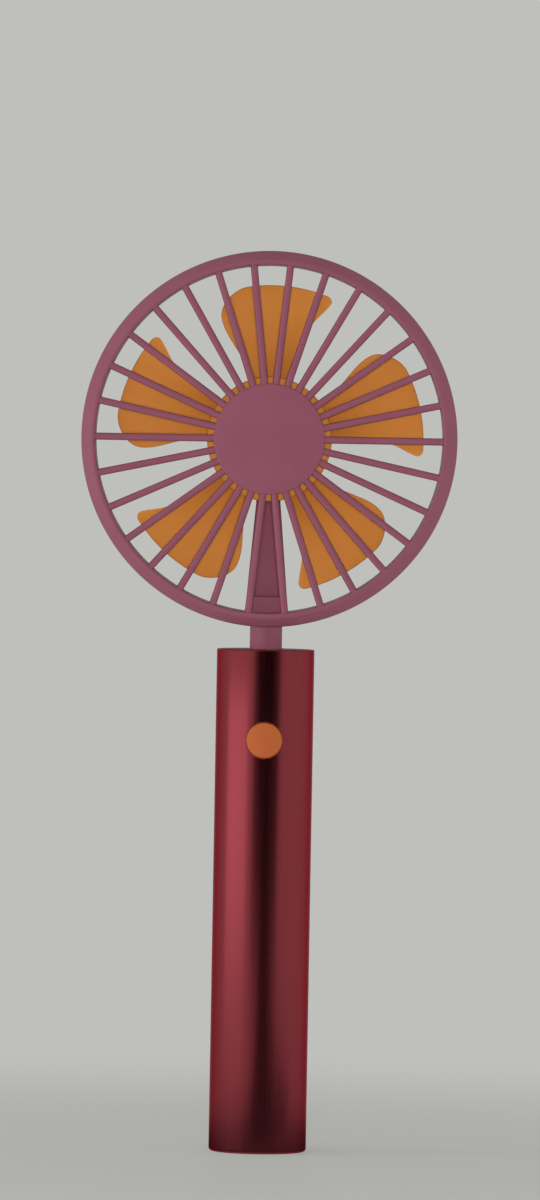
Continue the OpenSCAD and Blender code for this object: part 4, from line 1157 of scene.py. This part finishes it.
def pan_screw(name, middle, seat, shank_end):
    """A pan-head screw along Y with its head to the rear, turned with a low dome and a cross recess."""
    top = seat + screw_head_height
    screw = turn(
        name,
        [(0, shank_end), (screw_radius, shank_end), (screw_radius, seat), (screw_head_radius, seat)]
        + arc((screw_head_radius - screw_dome, top - screw_dome), screw_dome, 0, 90, 4)
        + [(0, top)],
        middle, REAR, screw_steps)
    cross_recess(screw, middle + REAR * top, REAR)
    return screw


screws = []
for spot in upper_spots + [strut_spot]:
    recess = peg("screw_recess", spot, recess_radius, cover_seat, cover_high.y + sunk)
    combine(rear_cover, recess, "DIFFERENCE")
    hole = peg("screw_hole", spot, screw_radius + screw_gap, cover_low.y - sunk, cover_high.y, screw_steps)
    combine(rear_cover, hole, "DIFFERENCE")
    screws.append(pan_screw("cover_screw", spot, cover_seat, cover_seat - cover_hole_depth))
smooth(rear_cover)
fit_piece(rear_cover, mauve_abs, "body", "rear_cover")

cover_screws = join("cover_screw_set", screws)
smooth(cover_screws)
fit_piece(cover_screws, screw_zinc, "body", "cover_screws")

neck_screw = pan_screw("neck_clamp_screw", neck_screw_spot, face_rear - screw_head_height, neck_screw_low.y)
smooth(neck_screw)
fit_piece(neck_screw, screw_zinc, "body", "neck_screw")

# Studio
# The fan stands upright on a pale floor that runs out into a backdrop of the same tone. Four lamps at the
# height of the head light it, most from in front. A low soft box gives the tube its bright left flank,
# and dark flags that show only in gloss give it its dark stripe.

pale = "#bfc0bc"
# The ambient light is strongest from the lower left in front
ambient_side = (-0.55, -0.25, -0.8)
ambient_least, ambient_most = 0.16, 0.87
floor_colour = "#e4e5e1"
floor_radius = 6
card_steps = 96
# Where the floor begins and ends to turn into the backdrop, and the share of it that already shows at the fan
haze_start, haze_end, haze_least = 0.08, 0.4, 0.5
scene = bpy.context.scene
scene.view_settings.view_transform = "Standard"

world = bpy.data.worlds.new("pale_studio")
scene.world = world
world.use_nodes = True
tree = world.node_tree
tree.nodes.clear()
rays = add_node(tree, "ShaderNodeLightPath", {})
seen = add_node(
    tree, "ShaderNodeMath", {"operation": "ADD"},
    {0: rays.outputs["Is Camera Ray"], 1: rays.outputs["Is Glossy Ray"]})
seen_all = add_node(
    tree, "ShaderNodeMath", {"operation": "ADD", "use_clamp": True},
    {0: seen.outputs["Value"], 1: rays.outputs["Is Transmission Ray"]})
outlook = add_node(tree, "ShaderNodeTexCoord", {})
towards = add_node(
    tree, "ShaderNodeVectorMath", {"operation": "DOT_PRODUCT", 1: ambient_side},
    {0: outlook.outputs["Generated"]})
level = add_node(
    tree, "ShaderNodeMapRange", {"From Min": -1.0, "To Min": ambient_least, "To Max": ambient_most},
    {"Value": towards.outputs["Value"]})
ambient = add_node(
    tree, "ShaderNodeBackground", {"Color": (1, 1, 1, 1)}, {"Strength": level.outputs["Result"]})
backdrop = add_node(tree, "ShaderNodeBackground", {"Color": linear(pale), "Strength": 1.0})
sky = add_node(
    tree, "ShaderNodeMixShader", {},
    {0: seen_all.outputs["Value"], 1: ambient.outputs["Background"], 2: backdrop.outputs["Background"]})
add_node(tree, "ShaderNodeOutputWorld", {}, {"Surface": sky.outputs["Shader"]})


def round_card(name, radius, height):
    """A round flat card at a height over the middle of the floor."""
    bpy.ops.object.select_all(action="DESELECT")
    bpy.ops.mesh.primitive_circle_add(
        vertices=card_steps, radius=radius, fill_type="NGON", location=(0, 0, height))
    card = bpy.context.object
    card.name = name
    bpy.ops.object.transform_apply(location=True, rotation=True, scale=True)
    return card


floor = round_card("pale_floor", floor_radius, 0)
material, tree = new_tree("pale_floor_paint")
floor_place = add_node(tree, "ShaderNodeTexCoord", {})
from_fan = add_node(
    tree, "ShaderNodeVectorMath", {"operation": "LENGTH"}, {0: floor_place.outputs["Object"]})
far = add_node(
    tree, "ShaderNodeMapRange",
    {"From Min": haze_start, "From Max": haze_end, "To Min": haze_least, "To Max": 1.0,
     "interpolation_type": "SMOOTHSTEP"},
    {"Value": from_fan.outputs["Value"]})
paint = add_node(tree, "ShaderNodeBsdfDiffuse", {"Color": linear(floor_colour)})
haze = add_node(tree, "ShaderNodeEmission", {"Color": linear(pale), "Strength": 1.0})
blend = add_node(
    tree, "ShaderNodeMixShader", {},
    {0: far.outputs["Result"], 1: paint.outputs["BSDF"], 2: haze.outputs["Emission"]})
add_node(tree, "ShaderNodeOutputMaterial", {}, {"Surface": blend.outputs["Shader"]})
floor.data.materials.append(material)


def soft_box(name, place, aim, width, height, power):
    """A rectangular area lamp at a place, turned to face another."""
    lamp = bpy.data.lights.new(name, "AREA")
    lamp.shape = "RECTANGLE"
    lamp.size = width
    lamp.size_y = height
    lamp.energy = power
    holder = bpy.data.objects.new(name, lamp)
    scene.collection.objects.link(holder)
    holder.location = place
    holder.rotation_euler = (aim - place).to_track_quat("-Z", "Y").to_euler()
    return holder


handle_middle = Vector((0, 0, tube_top / 2))
box_place = Vector((-0.53, -0.23, 0.06))
box_width, box_height, box_power = 0.61, 0.17, 0.26
soft_box("left_soft_box", box_place, handle_middle, box_width, box_height, box_power)
lamp_distance = 2.6
lamp_size = 0.3
# Each lamp has a name, an angle round the fan from straight in front, and a power
lamps = (("front_lamp", 0, 37), ("left_lamp", -85, 19), ("right_lamp", 95, 13), ("rear_lamp", 180, 30))
for name, azimuth, power in lamps:
    lamp_way = Vector((math.sin(math.radians(azimuth)), -math.cos(math.radians(azimuth)), 0))
    lamp = soft_box(name, fan_centre + lamp_way * lamp_distance, fan_centre, lamp_size, lamp_size, power)
    lamp.visible_glossy = False


def studio_flag(card, tone, fade_start, fade_end):
    """Makes a dark flag of a card: it shows only in gloss, and fades to the pale floor away from the fan."""
    card.visible_camera = False
    card.visible_diffuse = False
    card.visible_shadow = False
    card.visible_transmission = False
    material, tree = new_tree(card.name)
    place = add_node(tree, "ShaderNodeTexCoord", {})
    away = add_node(tree, "ShaderNodeVectorMath", {"operation": "LENGTH"}, {0: place.outputs["Object"]})
    fade = add_node(
        tree, "ShaderNodeMapRange",
        {"From Min": fade_start, "From Max": fade_end, "interpolation_type": "SMOOTHSTEP"},
        {"Value": away.outputs["Value"]})
    shade = add_node(
        tree, "ShaderNodeMix", {"data_type": "RGBA", 6: linear(tone), 7: linear(pale)},
        {0: fade.outputs["Result"]})
    glow = add_node(tree, "ShaderNodeEmission", {"Strength": 1.0}, {"Color": shade.outputs[2]})
    add_node(tree, "ShaderNodeOutputMaterial", {}, {"Surface": glow.outputs["Emission"]})
    card.data.materials.append(material)


# The first two flags end before their fade starts, and the round one fades from the foot to its edge
no_fade = (2, 3)
foot_fade = (0.02, 0.15)
round_flag_radius = 0.16
round_flag_height = 0.5 * MM
upright_flag = block("upright_flag", Vector((-0.215, -0.505, 0)), Vector((0.35, -0.5, 0.6)))
studio_flag(upright_flag, "#000000", *no_fade)
front_flag = block("front_flag", Vector((-0.03, -0.5, 0.001)), Vector((0.12, -0.03, 0.0015)))
studio_flag(front_flag, "#4c4c4c", *no_fade)
round_flag = round_card("round_flag", round_flag_radius, round_flag_height)
studio_flag(round_flag, "#5c5c5c", *foot_fade)

# Camera
# The photograph is a level front view from far off, at the height of the head, rolled a little clockwise.
# Its height and the fan's scale in it, in pixels, give the focal length.

photo_height = 1200
pixels_per_metre = 3750
camera_distance = 2.4
camera_aside = 0.9 * MM
middle_height = 147.1 * MM
roll = math.radians(1)
lens = bpy.data.cameras.new("photo_camera")
lens.sensor_width = 36
lens.lens = lens.sensor_width * camera_distance * pixels_per_metre / photo_height
lens.clip_start = 0.01
lens.clip_end = 20
camera = bpy.data.objects.new("photo_camera", lens)
scene.collection.objects.link(camera)
scene.camera = camera
camera.location = (camera_aside, -camera_distance, fan_centre.z)
sight = Vector((camera_aside, 0, middle_height)) - camera.location
camera.rotation_euler = (sight.to_track_quat("-Z", "Y") @ Quaternion((0, 0, 1), roll)).to_euler()
